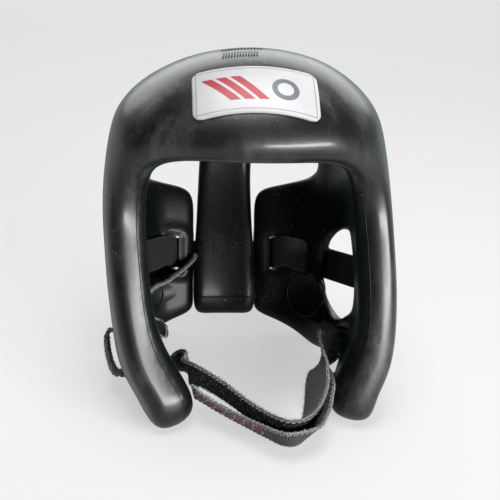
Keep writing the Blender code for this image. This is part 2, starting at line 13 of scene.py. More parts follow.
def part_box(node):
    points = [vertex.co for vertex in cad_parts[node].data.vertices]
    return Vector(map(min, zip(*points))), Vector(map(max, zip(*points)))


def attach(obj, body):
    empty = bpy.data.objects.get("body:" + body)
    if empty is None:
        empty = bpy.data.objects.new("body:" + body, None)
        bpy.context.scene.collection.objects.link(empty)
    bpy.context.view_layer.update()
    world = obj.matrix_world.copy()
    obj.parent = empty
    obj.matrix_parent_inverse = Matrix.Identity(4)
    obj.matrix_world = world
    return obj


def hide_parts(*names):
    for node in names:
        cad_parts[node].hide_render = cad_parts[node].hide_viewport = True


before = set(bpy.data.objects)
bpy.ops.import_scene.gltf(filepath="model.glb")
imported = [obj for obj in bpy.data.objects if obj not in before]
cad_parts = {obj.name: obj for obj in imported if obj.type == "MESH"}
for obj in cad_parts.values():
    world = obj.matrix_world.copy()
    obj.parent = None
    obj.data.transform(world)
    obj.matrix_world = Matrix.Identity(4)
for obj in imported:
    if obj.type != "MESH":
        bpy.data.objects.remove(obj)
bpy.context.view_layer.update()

# Driving dimensions of the hollow for the head
HEAD_HALF_WIDTH = 0.080
HEAD_FRONT = 0.096
HEAD_BACK = 0.086
CROWN_HEIGHT = 0.074
FRONT_SQUARENESS = 2.3
BACK_SQUARENESS = 3.4
CROWN_ROUNDNESS = 2.35

# How far the shell hangs down from the brow, and how it bends there
CHEEK_DROP = 0.176
SHOULDER_HEIGHT = 0.030
CHIN_CURL = 0.031
CURL_BACK_SHARE = 0.2
CURL_FADE_FROM, CURL_FADE_TO = 100, 150
CHEEK_LEAN = 0.014
CROWN_LEAN = 0.006
REAR_LEAN = -0.0072
PAD_CURVE = 0.075

# Foam thicknesses
CHEEK_FOAM = 0.028
CROWN_FOAM = 0.018
TIP_FOAM = 0.033
PAD_FOAM = 0.012
PAD_HALF_WIDTH = 0.022

# Webbing and elastic
STRAP_WIDTH = 0.025
STRAP_THICKNESS = 0.0022
STRAP_GAP = 0.0003
LAYER_STEP = 0.0036
STRAP_CLEARANCE = 0.0009
HEM_CLEARANCE = 0.0016
SLOT_CLEARANCE = 0.0020
SLOT_OVERRUN = 0.006
STATION_STEP = 0.007
ROW_STEP_DEGREES, FREE_SPAN_DEGREES = 6, 30
HEM_PROBE = 0.7

# Label
LABEL_WIDTH = 0.081
LABEL_HEIGHT = 0.0395
LABEL_ARCH = -0.003
LABEL_CORNER = 0.006
LABEL_THICKNESS = 0.0010
LABEL_SEAT = 0.0008
LABEL_RISE = 0.0535
LABEL_COLUMNS, LABEL_ROWS = 96, 44
LABEL_ROUND, LABEL_ROUND_REACH, LABEL_SINK = 0.0004, 0.0008, 0.0003

# Round dishes in the wings' inner faces, cut by the cap of a ball. Edges of cuts steeper than
# CUT_EDGE_DEGREES stay sharp.
DISH_RADIUS = 0.0182
DISH_DEPTH = 0.0035
DISH_CAP_DEPTH = 0.010
DISH_POINTS, DISH_RINGS = 72, 120
DISH_AZIMUTH, DISH_HEIGHT = 135.5, -0.515
CUT_EDGE_DEGREES = 32

# Rays that look for the shell's faces start this far out
FAR = 4 * HEAD_FRONT

# Grid of the shell: columns run from the middle of the forehead round to the end of a wing, rows
# from the crown's rear edge down to the hem. The pad's rows go on over the crown and down the back.
CROWN_ROWS = 6
SHOULDER, BROW, EAR_TOP, EAR_LOW, HEM = 0, 1, 2, 4, 7
PAD_COLUMN, RIM, EAR_FRONT, EAR_BACK, WING_END = 2, 5, 8, 11, 14
EAR_CORNER = 5.0

# azimuth: degrees from straight ahead. top, ear_top, ear_low and hem: heights of those rows from
# the brow, as shares of CHEEK_DROP. side and back: degrees from straight up that aim the upper end
# of the column at the crown's rear edge. foam: thickness as a share of CHEEK_FOAM.
COLUMNS = [
    dict(azimuth=0, top=0.010, side=0, back=24, foam=0.90),
    dict(azimuth=12, top=0.012, side=6, back=24, foam=0.90),
    dict(azimuth=24, top=0.020, side=11, back=24, foam=0.92),
    dict(azimuth=35, top=0.015, side=14, back=25, foam=0.94),
    dict(azimuth=45, top=-0.020, side=17, back=27, foam=0.96),
    dict(azimuth=53, top=-0.115, ear_top=-0.29, ear_low=-0.58, hem=-0.91, side=20, back=29, foam=1.00),
    dict(azimuth=64, top=-0.085, ear_top=-0.28, ear_low=-0.58, hem=-1.00, side=23, back=31, foam=1.00),
    dict(azimuth=75, top=-0.040, ear_top=-0.27, ear_low=-0.58, hem=-0.91, side=26, back=33, foam=0.90),
    dict(azimuth=87, top=0.000, ear_top=-0.29, ear_low=-0.55, hem=-0.715, side=29, back=35, foam=0.62),
    dict(azimuth=101, top=0.035, ear_top=-0.22, ear_low=-0.61, hem=-0.720, side=32, back=37, foam=0.50),
    dict(azimuth=116, top=0.060, ear_top=-0.22, ear_low=-0.61, hem=-0.750, side=35, back=40, foam=0.46),
    dict(azimuth=130, top=0.060, ear_top=-0.29, ear_low=-0.55, hem=-0.755, side=39, back=45, foam=0.43),
    dict(azimuth=141, top=0.030, ear_top=-0.22, ear_low=-0.43, hem=-0.705, foam=0.43),
    dict(azimuth=152, top=0.005, ear_top=-0.18, ear_low=-0.41, hem=-0.65, foam=0.43),
    dict(azimuth=164.5, top=-0.020, ear_top=-0.17, ear_low=-0.40, hem=-0.61, foam=0.43),
]

# Chin curl: depth below the brow as a share of CHEEK_DROP, and how far in as a share of CHIN_CURL
CURL = [
    dict(depth=0.00, share=0.00),
    dict(depth=0.54, share=0.00),
    dict(depth=0.66, share=0.15),
    dict(depth=0.77, share=0.50),
    dict(depth=0.88, share=0.90),
    dict(depth=1.20, share=1.00),
]

# Nape pad. aim: degrees from straight up to the back. depth: below the brow, as a share of
# CHEEK_DROP. width: share of PAD_HALF_WIDTH. inner and outer: foam as shares of PAD_FOAM.
PAD = [
    dict(aim=38, width=1.00, inner=0.00, outer=1.20),
    dict(aim=52, width=1.00, inner=0.00, outer=1.00),
    dict(aim=68, width=1.00, inner=0.08, outer=1.00),
    dict(aim=84, width=1.00, inner=0.16, outer=1.00),
    dict(depth=0.12, width=1.05, inner=0.25, outer=0.90),
    dict(depth=0.24, width=1.10, inner=0.50, outer=0.85),
    dict(depth=0.37, width=1.17, inner=0.66, outer=0.85),
    dict(depth=0.51, width=1.20, inner=0.72, outer=0.85),
    dict(depth=0.62, width=1.16, inner=0.58, outer=0.70),
]

# Routes of the straps. A wall row lies at an azimuth in degrees (the wearer's right is negative) and a
# depth below the brow as a share of CHEEK_DROP. through is 0 on the inner face and 1 on the outer, and
# lift is how far off it, as a share of STRAP_WIDTH. turn is how far the width is turned from upright
# and tilt how far it leans off the wall, in degrees. Rows with slot=1 are cut through the foam, and a
# piece of webbing ends at a row with end=1. A hem row passes under the hem at its azimuth, inward being
# how far in from its middle as a share of STRAP_WIDTH. A free row is a point as shares of
# HEAD_HALF_WIDTH, HEAD_FRONT and STRAP_WIDTH from the middle of the table, with the way its width runs:
# given, or leaning out by lean degrees there and outer degrees on the layer that folds back, which lies
# lower by drop, a share of STRAP_WIDTH.
REAR_HALF = [
    dict(azimuth=180, depth=0.345, through=1, lift=0.06),
    dict(azimuth=168, depth=0.345, through=1, lift=0.06),
    dict(azimuth=162, depth=0.335, through=1),
    dict(azimuth=159, depth=0.33, through=1, slot=1),
    dict(azimuth=152.5, depth=0.325, through=0, slot=1),
    dict(azimuth=150.5, depth=0.320, through=0, lift=0.08),
    dict(azimuth=148, depth=0.316, through=0, lift=0.15, tilt=-7),
    dict(azimuth=145, depth=0.316, through=0, lift=0.18, tilt=-10),
    dict(azimuth=142, depth=0.322, through=0, lift=0.15, tilt=-7),
    dict(azimuth=139.5, depth=0.33, through=0, lift=0.08),
    dict(azimuth=137, depth=0.34, through=0, slot=1),
    dict(azimuth=131.5, depth=0.36, through=1, slot=1),
    dict(azimuth=129, depth=0.37, through=1, lift=0.06),
    dict(azimuth=84, depth=0.42, through=1, lift=-0.12),
    dict(azimuth=80, depth=0.42, through=1, lift=-0.16),
]
CHIN_LEFT = [
    dict(x=-0.47, y=0.60, z=2.05, width=(0.25, -0.80, 0.50)),
    dict(x=-0.50, y=0.48, z=2.08, width=(0.25, -0.80, 0.50)),
    dict(x=-0.60, y=0.34, z=2.04, width=(0.25, -0.80, 0.50)),
    dict(x=-0.74, y=0.20, z=1.93, width=(0.25, -0.80, 0.50)),
    dict(x=-0.88, y=0.02, z=1.80, width=(0.20, -0.75, 0.60)),
    dict(azimuth=-98, depth=0.67, through=0, lift=0.14, turn=76),
    dict(azimuth=-94, depth=0.655, through=0.05, turn=90, slot=1),
    dict(azimuth=-94, depth=0.635, through=0.95, turn=90, slot=1),
    dict(azimuth=-93, depth=0.635, through=1, lift=0.30, turn=90),
    dict(azimuth=-92, depth=0.68, through=1, lift=0.48, turn=90),
    dict(hem=-91, inward=-0.68),
    dict(hem=-91),
    dict(hem=-91, inward=0.65),
]
CHIN_FRONT = [
    dict(x=-0.52, y=-0.66, z=0.95, width=(0, -0.30, 0.95)),
    dict(x=-0.50, y=-0.85, z=1.12, lean=16, outer=18, drop=0.30),
    dict(x=-0.42, y=-0.905, z=1.16, lean=20, outer=30, drop=0.36),
    dict(x=-0.34, y=-0.95, z=1.10, lean=22, outer=36, drop=0.38),
    dict(x=-0.17, y=-1.04, z=0.90, lean=22, outer=38, drop=0.33),
    dict(x=0.02, y=-1.17, z=0.66, lean=22, outer=38, drop=0.16),
    dict(x=0.18, y=-1.29, z=0.54, lean=20, outer=36, drop=0.05),
    dict(x=0.33, y=-1.38, z=0.50, lean=18, outer=36),
    dict(x=0.46, y=-1.34, z=0.48, lean=21, outer=37),
    dict(x=0.56, y=-1.19, z=0.54, lean=32, outer=42),
    dict(x=0.64, y=-1.00, z=0.78, lean=40, outer=44),
    dict(x=0.68, y=-0.82, z=1.15, lean=34, outer=40),
]
CHIN_RIGHT = [
    dict(x=0.80, y=-0.64, z=1.50, width=(-0.2, 0.6, 0.6)),
    dict(azimuth=94, depth=0.67, through=0, lift=0.14, turn=90),
    dict(azimuth=94, depth=0.655, through=0.05, turn=90, slot=1),
    dict(azimuth=94, depth=0.635, through=0.95, turn=90, slot=1),
    dict(azimuth=93.5, depth=0.642, through=1, lift=0.30, turn=90),
    dict(azimuth=92, depth=0.68, through=1, lift=0.48, turn=90),
    dict(hem=91, inward=-0.68),
    dict(hem=91, end=1),
    dict(hem=91, inward=0.55),
    dict(x=0.80, y=-0.80, z=0.55, width=(0, 0.4, 0.9)),
]
# The end that folds back runs outside the front stretch, from its row BACK_FROM to BACK_TO, and turns
# from elastic into a sewn tab at BACK_SPLIT.
BACK_FROM, BACK_SPLIT, BACK_TO = 10, 6, 2


def plan_radius(direction, squareness_share=1.0):
    """Distance from the head's axis to the hollow's wall, level, in that direction."""
    x, y = abs(direction.x), direction.y
    length, power = (HEAD_FRONT, FRONT_SQUARENESS) if y < 0 else (HEAD_BACK, BACK_SQUARENESS)
    power = 2 + (power - 2) * squareness_share
    share = (x / HEAD_HALF_WIDTH) ** power + (abs(y) / length) ** power
    return share ** (-1 / power)


def level_way(azimuth):
    """Level direction away from the head's axis, at an azimuth in degrees."""
    angle = math.radians(azimuth)
    return Vector((math.sin(angle), -math.cos(angle), 0))


def round_way(azimuth):
    """Level direction along the wall, at an azimuth in degrees."""
    angle = math.radians(azimuth)
    return Vector((math.cos(angle), math.sin(angle), 0))


def squared(way, along):
    """The part of a direction that is square to another."""
    return (way - along * way.dot(along)).normalized()


def wall_point(azimuth, height):
    """A point of the hollow's wall by azimuth in degrees and height above the brow."""
    direction = level_way(azimuth)
    if height > 0:
        rise = height / CROWN_HEIGHT
        reach = plan_radius(direction, 1 - rise)
        reach *= (1 - rise**CROWN_ROUNDNESS) ** (1 / CROWN_ROUNDNESS)
    else:
        reach = plan_radius(direction)
    return direction * reach + Vector((0, 0, height))


def crown_point(direction):
    """The point of the hollow's crown in that direction from the head's middle."""
    level = Vector((direction.x, direction.y, 0))
    across = 0.0
    if level.length > 1e-9:
        across = level.length / plan_radius(level.normalized(), 1 - min(1.0, direction.z))
    share = across**CROWN_ROUNDNESS + (direction.z / CROWN_HEIGHT) ** CROWN_ROUNDNESS
    return direction * share ** (-1 / CROWN_ROUNDNESS)


def between(table, key, at, value):
    """Straight reading of a table's named column at a place between its rows."""
    for low, high in zip(table, table[1:]):
        if at <= high[key]:
            t = max(0.0, (at - low[key]) / (high[key] - low[key]))
            return low[value] + (high[value] - low[value]) * t
    return table[-1][value]


def is_foam(column, row):
    """Whether the cell from column to column + 1 and from row to row + 1 is filled."""
    cell = column if column >= 0 else -column - 1
    if row < -CROWN_ROWS:
        return cell < PAD_COLUMN
    if row < BROW:
        return cell < EAR_BACK
    ear_hole = EAR_FRONT <= cell < EAR_BACK and EAR_TOP <= row < EAR_LOW
    return cell >= RIM and not ear_hole


def row_height(form, row):
    """Height of a row below the shoulder, in one column."""
    knots = [(BROW, "top"), (EAR_TOP, "ear_top"), (EAR_LOW, "ear_low"), (HEM, "hem")]
    for (above, high), (below, low) in zip(knots, knots[1:]):
        if row <= below:
            t = (row - above) / (below - above)
            return CHEEK_DROP * (form[high] + (form[low] - form[high]) * t)


def column_path(form, row):
    """A point of the crown part of a column, from its shoulder up to the crown's rear edge."""
    base = wall_point(form["azimuth"], SHOULDER_HEIGHT).normalized()
    side, back = math.radians(form["side"]), math.radians(form["back"])
    end = Vector((math.sin(side), math.cos(side) * math.sin(back), math.cos(side) * math.cos(back)))
    return crown_point(base.slerp(end, -row / CROWN_ROWS))


def bend(point, azimuth):
    """Curl the cheeks in towards the chin."""
    depth = max(0.0, -point.z / CHEEK_DROP)
    fade = min(1.0, max(0.0, (CURL_FADE_TO - azimuth) / (CURL_FADE_TO - CURL_FADE_FROM)))
    inward = Vector((-point.x, -CURL_BACK_SHARE * point.y, 0)).normalized()
    return point + inward * CHIN_CURL * between(CURL, "depth", depth, "share") * fade


def rear_aside(y, z):
    """How far the back of the foam has sagged to the wearer's right."""
    rear = min(1.0, max(0.0, y / HEAD_BACK))
    return REAR_LEAN * rear**2 * (3 - 2 * rear) * (1 - max(0.0, z / CROWN_HEIGHT) ** 2)


def lean(point):
    """The foam as it stands has sagged a little to the wearer's left, above and below the brow."""
    fade = min(1.0, max(0.0, 0.5 - point.y / HEAD_BACK))
    aside = CHEEK_LEAN * max(0.0, -point.z / CHEEK_DROP) * fade
    aside += CROWN_LEAN * max(0.0, point.z / CROWN_HEIGHT) ** 2
    aside += rear_aside(point.y, point.z)
    return point + Vector((aside, 0, 0))


def pad_point(column, step):
    form = PAD[step - 1]
    if "aim" in form:
        aim = math.radians(form["aim"])
        point = crown_point(Vector((0, math.sin(aim), math.cos(aim))))
    else:
        point = wall_point(180, -form["depth"] * CHEEK_DROP)
    x = PAD_HALF_WIDTH * form["width"] * column / PAD_COLUMN
    point = Vector((x, point.y - max(0, step - 2) / 7 * x * x / (2 * PAD_CURVE), point.z))
    point.x += rear_aside(point.y, point.z)
    return point


def sheet_point(column, row):
    """Inner point of the shell at a grid corner, in the head's frame."""
    if row < -CROWN_ROWS:
        return pad_point(column, -CROWN_ROWS - row)
    form = COLUMNS[abs(column)]
    if row < SHOULDER:
        point = column_path(form, row)
    elif row == SHOULDER:
        point = wall_point(form["azimuth"], SHOULDER_HEIGHT)
    else:
        azimuth = form["azimuth"]
        if row in (EAR_TOP, EAR_LOW) and abs(column) in (EAR_FRONT, EAR_BACK):
            azimuth += EAR_CORNER if abs(column) == EAR_FRONT else -EAR_CORNER
        height = form["top"] * CHEEK_DROP if row == BROW else row_height(form, row)
        point = bend(wall_point(azimuth, height), azimuth)
    point.x *= -1 if column < 0 else 1
    return lean(point)


def foam_at(column, row):
    """Foam inward and outward of the sheet at a grid corner."""
    if row < -CROWN_ROWS:
        form = PAD[-CROWN_ROWS - row - 1]
        return form["inner"] * PAD_FOAM, form["outer"] * PAD_FOAM
    foam = COLUMNS[abs(column)]["foam"] * CHEEK_FOAM
    if row < SHOULDER:
        foam += (CROWN_FOAM - foam) * -row / CROWN_ROWS
    if row > EAR_LOW and abs(column) < EAR_FRONT:
        foam = max(foam, TIP_FOAM)
    return 0.0, foam


def resting_tilt(points):
    """Angle about X at which the lowest points in front and behind are level."""
    front = [p for p in points if p.y < 0]
    back = [p for p in points if p.y > 0]
    low, high = math.radians(-60), math.radians(10)
    for _ in range(40):
        angle = (low + high) / 2
        turn = Matrix.Rotation(angle, 3, "X")
        if min((turn @ p).z for p in front) > min((turn @ p).z for p in back):
            low = angle
        else:
            high = angle
    return angle


def wall_hit(tree, azimuth, height, outer):
    """Where a level ray from the head's axis meets the inner face, or one from outside the outer."""
    outward = level_way(azimuth)
    axis = Vector((rear_aside(outward.y * HEAD_BACK, height), 0, height))
    start, way = (axis + outward * FAR, -outward) if outer else (axis, outward)
    return tree.ray_cast(start, way, FAR)[0]


def wall_face(tree, row, outer, thickness):
    """Middle of a band that lies on one face of the wall, and the way its width runs."""
    height = -row["depth"] * CHEEK_DROP
    half = STRAP_WIDTH / 2 * math.cos(math.radians(row.get("turn", 0))) + STRAP_THICKNESS
    hits = [wall_hit(tree, row["azimuth"], height + rise, outer) for rise in (half, 0, -half)]
    hits = [hit for hit in hits if hit is not None]
    top, middle, low = hits[0], hits[len(hits) // 2], hits[-1]
    upward = (top - low).normalized()
    along, outward = round_way(row["azimuth"]), level_way(row["azimuth"])
    outward = (outward - upward * outward.dot(upward)).normalized()
    side = 1 if outer else -1
    base = (top + low) / 2
    proud = max(0.0, side * (middle - base).dot(outward))
    reach = proud + STRAP_CLEARANCE + thickness / 2 + row.get("lift", 0) * STRAP_WIDTH
    turn = Matrix.Rotation(math.radians(row.get("turn", 0)), 3, outward)
    tilt = Matrix.Rotation(math.radians(row.get("tilt", 0)), 3, along)
    return base + outward * side * reach, tilt @ turn @ upward


def wall_station(tree, row, thickness):
    inside, width_in = wall_face(tree, row, False, thickness)
    outside, width_out = wall_face(tree, row, True, thickness)
    through = row["through"]
    return inside.lerp(outside, through), width_in.lerp(width_out, through).normalized()


def hem_station(tree, row, thickness):
    """A band's middle where it passes under the hem."""
    azimuth = row["hem"]
    along = round_way(azimuth)
    height = -HEM_PROBE * CHEEK_DROP
    reach = (wall_hit(tree, azimuth, height, False) + wall_hit(tree, azimuth, height, True)) / 2
    lows = []
    for aside in (-STRAP_WIDTH / 2, 0, STRAP_WIDTH / 2):
        start = Vector((reach.x, reach.y, -FAR)) + along * aside
        found = tree.ray_cast(start, Vector((0, 0, 1)), FAR)[0]
        if found is not None:
            lows.append(found.z)
    low = min(lows) - HEM_CLEARANCE - thickness / 2
    inward = -level_way(azimuth) * row.get("inward", 0) * STRAP_WIDTH
    return Vector((reach.x, reach.y, low)) + inward, along


def outward_way(rows, k):
    """Level direction away from the chin at a free row."""
    before, after = rows[max(0, k - 1)], rows[min(len(rows) - 1, k + 1)]
    run_x = (after["x"] - before["x"]) * HEAD_HALF_WIDTH
    run_y = (after["y"] - before["y"]) * HEAD_FRONT
    return Vector((run_y, -run_x, 0)).normalized()


def leaning(way, degrees):
    angle = math.radians(degrees)
    return tuple(way * math.sin(angle) + Vector((0, 0, math.cos(angle))))


def leaned_front():
    """The front stretch with its width leaning outwards."""
    rows = []
    for k, here in enumerate(CHIN_FRONT):
        row = dict(here)
        if "lean" in here:
            row["width"] = leaning(outward_way(CHIN_FRONT, k), here["lean"])
        rows.append(row)
    return rows


def shifted_front():
    """The front stretch run backwards, a layer further out, lower and leaning more."""
    rows = []
    for k in range(BACK_FROM, BACK_TO - 1, -1):
        here = CHIN_FRONT[k]
        way = outward_way(CHIN_FRONT, k)
        lean_in, lean_out = math.radians(here["lean"]), math.radians(here["outer"])
        step = LAYER_STEP + (math.sin(lean_out) - math.sin(lean_in)) * STRAP_WIDTH / 2
        row = dict(here, width=leaning(way, here["outer"]))
        row["x"] += way.x * step / HEAD_HALF_WIDTH
        row["y"] += way.y * step / HEAD_FRONT
        row["z"] -= (math.cos(lean_in) - math.cos(lean_out)) / 2 + here.get("drop", 0)
        if k == BACK_SPLIT:
            row["end"] = 1
        rows.append(row)
    return rows


def filled_rows(rows):
    """Wall rows with more of them laid between neighbours, so that a band follows the curve."""
    filled = [rows[0]]
    for before, after in zip(rows, rows[1:]):
        if "depth" in before and "depth" in after:
            wide = abs(after["azimuth"] - before["azimuth"])
            steps = max(1, round(wide / ROW_STEP_DEGREES)) if wide < FREE_SPAN_DEGREES else 1
            for step in range(1, steps):
                t = step / steps
                row = {}
                for key in ("azimuth", "depth", "through", "lift", "turn", "tilt", "slot"):
                    first, last = before.get(key, 0), after.get(key, 0)
                    row[key] = first + (last - first) * t
                filled.append(row)
        filled.append(after)
    return filled


def control_stations(tree, rows, placing, thickness):
    """Middle and width direction of a band at each row of its route, as it stands."""
    stations = []
    for row in filled_rows(rows):
        if "x" in row:
            middle = Vector((row["x"] * HEAD_HALF_WIDTH, row["y"] * HEAD_FRONT, row["z"] * STRAP_WIDTH))
            width = Vector(row["width"]).normalized()
        else:
            if "hem" in row:
                middle, width = hem_station(tree, row, thickness)
            else:
                middle, width = wall_station(tree, row, thickness)
            middle = placing @ middle
            width = placing.to_3x3() @ width
        if stations and width.dot(stations[-1][1]) < 0:
            width.negate()
        stations.append((middle, width, row.get("slot", 0), row.get("end", 0)))
    return stations


def curve_value(p0, p1, p2, p3, t):
    """Catmull-Rom curve between p1 and p2."""
    straight = 2 * p1 + (p2 - p0) * t
    bent = (2 * p0 - 5 * p1 + 4 * p2 - p3) * t**2 + (3 * p1 - p0 - 3 * p2 + p3) * t**3
    return (straight + bent) / 2


def smooth_stations(stations):
    places = [stations[0]] + stations + [stations[-1]]
    smooth = []
    for a, b, c, d in zip(places, places[1:], places[2:], places[3:]):
        steps = max(1, round((c[0] - b[0]).length / STATION_STEP))
        for step in range(steps):
            t = step / steps
            middle = curve_value(a[0], b[0], c[0], d[0], t)
            smooth.append((middle, b[1].slerp(c[1], t), b[2] * (1 - t) + c[2] * t, b[3] if step == 0 else 0))
    smooth.append(stations[-1])
    ways = [(c[0] - a[0]).normalized() for a, c in zip([smooth[0]] + smooth, smooth[1:] + [smooth[-1]])]
    return [(*station, way) for station, way in zip(smooth, ways)]


def split_at_ends(stations):
    """Pieces of webbing with a small gap between them where one ends and the next is sewn on."""
    pieces = [[]]
    for k, station in enumerate(stations):
        pieces[-1].append(station)
        if station[3] and 0 < k < len(stations) - 1:
            pieces.append([(station[0] + station[4] * STRAP_GAP, *station[1:])])
    return pieces


def slot_stretches(stations):
    """The stretches of a band that run through the foam, and a little out of it at both ends."""
    stretches = []
    inside = False
    for station in stations:
        if station[2] > 0.5:
            if not inside:
                stretches.append([])
            stretches[-1].append(station)
        inside = station[2] > 0.5
    for stretch in stretches:
        for k, neighbour, place in ((0, 1, 0), (-1, -2, len(stretch) + 1)):
            way = (stretch[k][0] - stretch[neighbour][0]).normalized()
            stretch.insert(place, (stretch[k][0] + way * SLOT_OVERRUN, *stretch[k][1:]))
    return stretches


# Finer form of the shown pieces
FINE_LEVELS = 3
SLOT_LIP_REACH, SLOT_LIP_RISE, SLOT_LIP_FADE = 0.0045, 0.0013, 0.0035
SLOT_LIP_LIMIT, SLOT_LIP_LEAST = 0.012, 0.02
DISH_LIP_RISE, DISH_LIP_WIDTH, DISH_LIP_SIDES = 0.0006, 0.0016, 8
LIP_PROBE = 0.03
PARTING_SHARE, PARTING_RADIUS, PARTING_FLAT = 0.30, 0.00035, 0.9
RIM_BEHIND, RIM_BELOW = 0.012, -0.012
STEP_DEPTH, STEP_RADIUS, STEP_FLAT = -0.535, 0.0011, 0.55
STEP_HALF_WIDTH, STEP_BEHIND, STEP_INNER = 0.030, 0.030, 0.25
FINE_STEP = 0.0008
BAND_COLUMNS = 18
EDGE_FROM, EDGE_THINNER, RELIEF_SINK = 0.93, 0.45, 0.0002
RIB_PITCH, RIB_RELIEF = 0.0016, 0.00028
LOOP_RELIEF, LOOP_FINENESS = 0.00035, 900
STITCH_INSET, STITCH_PITCH, STITCH_RADIUS = 0.0016, 0.0030, 0.00032
STITCH_FILL, STITCH_SINK, STITCH_BOW = 0.8, 0.0002, 0.0004
FUZZ_PER_STEP, FUZZ_LENGTH, FUZZ_WIDTH = 14, 0.0013, 0.00016
FUZZ_AT_EDGE, SHORT_FUZZ_LENGTH = 0.30, 0.0008
FUZZ_SPREAD, FUZZ_EDGE, FUZZ_LEAN, FUZZ_SHARE = 0.7, (0.94, 1.0), (0.2, 1.3), (0.4, 1.0)
LOZENGE_PITCH = 0.0082
REAR_FUZZ_PER_STEP, ELASTIC_FUZZ_PER_STEP = 3, 5
SPECKS, SPECK_SIZES = 1500, (0.00007, 0.00026)
SPECK_MIDDLE, SPECK_START, SPECK_SINK = Vector((0, 0.01, 0.12)), 0.4, 0.0001
SPECK_CORNERS = (0, 1.3, 2.6, 3.9, 5.2)

# Ribs moulded into the top of the dome, in two rows
RIB_ROWS = [
    dict(y=0.0085, count=13, x_from=-0.0225, x_step=0.0022, slant=0.40, length=0.0085),
    dict(y=-0.0075, count=13, x_from=-0.0235, x_step=0.0019, slant=0.12, length=0.0150),
]
RIB_POINTS, RIB_RADIUS, RIB_HEIGHT, RIB_SINK, RIB_TIP = 7, 0.00065, 1.3, 0.0002, 0.3
ABOVE_DOME = 0.30

# Plain moulded mark on the nape pad: a rounded frame with two slanted bars
MARK_CENTRE, MARK_HALF, MARK_POINTS, MARK_SQUARENESS = (-0.0145, 0.0670), (0.0068, 0.0062), 40, 4
MARK_RADIUS, MARK_BAR_ASIDE, MARK_BAR_HALF = 0.00035, 0.0022, (0.0022, 0.0040)

# Plain print of the label, in metres from its middle: an inner line, slanted bars and a ring
PRINT_LINE, PRINT_SLANT, PRINT_SOFT = (0.0022, 0.0030), -0.9, 0.0002
PRINT_BARS = [(-0.0260, -0.0195), (-0.0170, -0.0105), (-0.0080, -0.0015)]
PRINT_BARS_WIDE, PRINT_BARS_TALL = (-0.034, 0.010), (-0.0095, 0.0105)
PRINT_RING, PRINT_RING_CENTRE = (0.0088, 0.0052), (0.0185, 0.0008)

random.seed(4)


def linked(name, data):
    """A new object that stands in the scene."""
    made = bpy.data.objects.new(name, data)
    bpy.context.scene.collection.objects.link(made)
    return made


def give_values(made, name, values):
    """Store one number for each corner of a piece, for its material to read."""
    made.data.attributes.new(name, "FLOAT", "POINT").data.foreach_set("value", values)


def cage_object(levels):
    """The shell's cage, with how far each corner lies across the foam, rounded to that level."""
    sheet = bmesh.new()
    corners = {}
    for row in range(-CROWN_ROWS - len(PAD), HEM):
        for column in range(-WING_END, WING_END):
            if not is_foam(column, row):
                continue
            keys = [(column, row), (column + 1, row), (column + 1, row + 1), (column, row + 1)]
            for key in keys:
                if key not in corners:
                    corners[key] = sheet.verts.new(sheet_point(*key))
            sheet.faces.new([corners[key] for key in keys])
    sheet.normal_update()
    shell = bmesh.new()
    across = shell.verts.layers.float.new("across")
    inner, outer = {}, {}
    for key, corner in corners.items():
        normal = corner.normal.copy()
        if normal.dot(Vector((corner.co.x, corner.co.y, max(0.0, corner.co.z)))) < 0:
            normal.negate()
        if key[1] < -CROWN_ROWS:
            normal = Vector((normal.x / 3, normal.y, normal.z)).normalized()
        inward, outward = foam_at(*key)
        inner[corner] = shell.verts.new(corner.co - normal * inward)
        outer[corner] = shell.verts.new(corner.co + normal * outward)
        outer[corner][across] = 1.0
    for face in sheet.faces:
        shell.faces.new([outer[v] for v in face.verts])
        shell.faces.new([inner[v] for v in reversed(face.verts)])
    for edge in sheet.edges:
        if edge.is_boundary:
            loop = edge.link_loops[0]
            a, b = loop.vert, loop.link_loop_next.vert
            shell.faces.new([inner[a], inner[b], outer[b], outer[a]])
    bmesh.ops.recalc_face_normals(shell, faces=shell.faces)
    for face in shell.faces:
        face.smooth = True
    mesh = bpy.data.meshes.new("foam_shell")
    shell.to_mesh(mesh)
    shell.free()
    sheet.free()
    made = linked("foam_shell", mesh)
    smooth = made.modifiers.new("Rounding", "SUBSURF")
    smooth.levels = smooth.render_levels = levels
    return made


def applied(made):
    """The object's mesh with its modifiers, which are then taken off."""
    shown = made.evaluated_get(bpy.context.evaluated_depsgraph_get())
    mesh = bpy.data.meshes.new_from_object(shown)
    made.modifiers.clear()
    old, made.data = made.data, mesh
    bpy.data.meshes.remove(old)
    return made


def tree_of(mesh):
    shown = bmesh.new()
    shown.from_mesh(mesh)
    tree = BVHTree.FromBMesh(shown)
    shown.free()
    return tree


def mesh_piece(name, places, faces, smooth=True):
    mesh = bpy.data.meshes.new(name)
    mesh.from_pydata(places, [], faces)
    mesh.update()
    for polygon in mesh.polygons:
        polygon.use_smooth = smooth
    return linked(name, mesh)


class Soup:
    """Corners and faces gathered for one mesh."""

    def __init__(self):
        self.places, self.faces, self.tint = [], [], []

    def ring_tube(self, rings, closed, capped=True, tint=0.0):
        base = len(self.places)
        count = len(rings[0])
        for ring in rings:
            self.places += ring
        self.tint += [tint] * (count * len(rings))
        spans = len(rings) if closed else len(rings) - 1
        for r in range(spans):
            here, there = base + r * count, base + (r + 1) % len(rings) * count
            for k in range(count):
                n = (k + 1) % count
                self.faces.append((here + k, here + n, there + n, there + k))
        if capped and not closed:
            self.faces.append(tuple(base + k for k in reversed(range(count))))
            last = base + (len(rings) - 1) * count
            self.faces.append(tuple(last + k for k in range(count)))

    def blade(self, root, tip, side):
        base = len(self.places)
        self.places += [root - side, root + side, tip + side * 0.3, tip - side * 0.3]
        self.tint += [0.0, 0.0, 1.0, 1.0]
        self.faces.append((base, base + 1, base + 2, base + 3))

    def piece(self, name, smooth=True):
        made = mesh_piece(name, self.places, self.faces, smooth)
        give_values(made, "tint", self.tint)
        return made


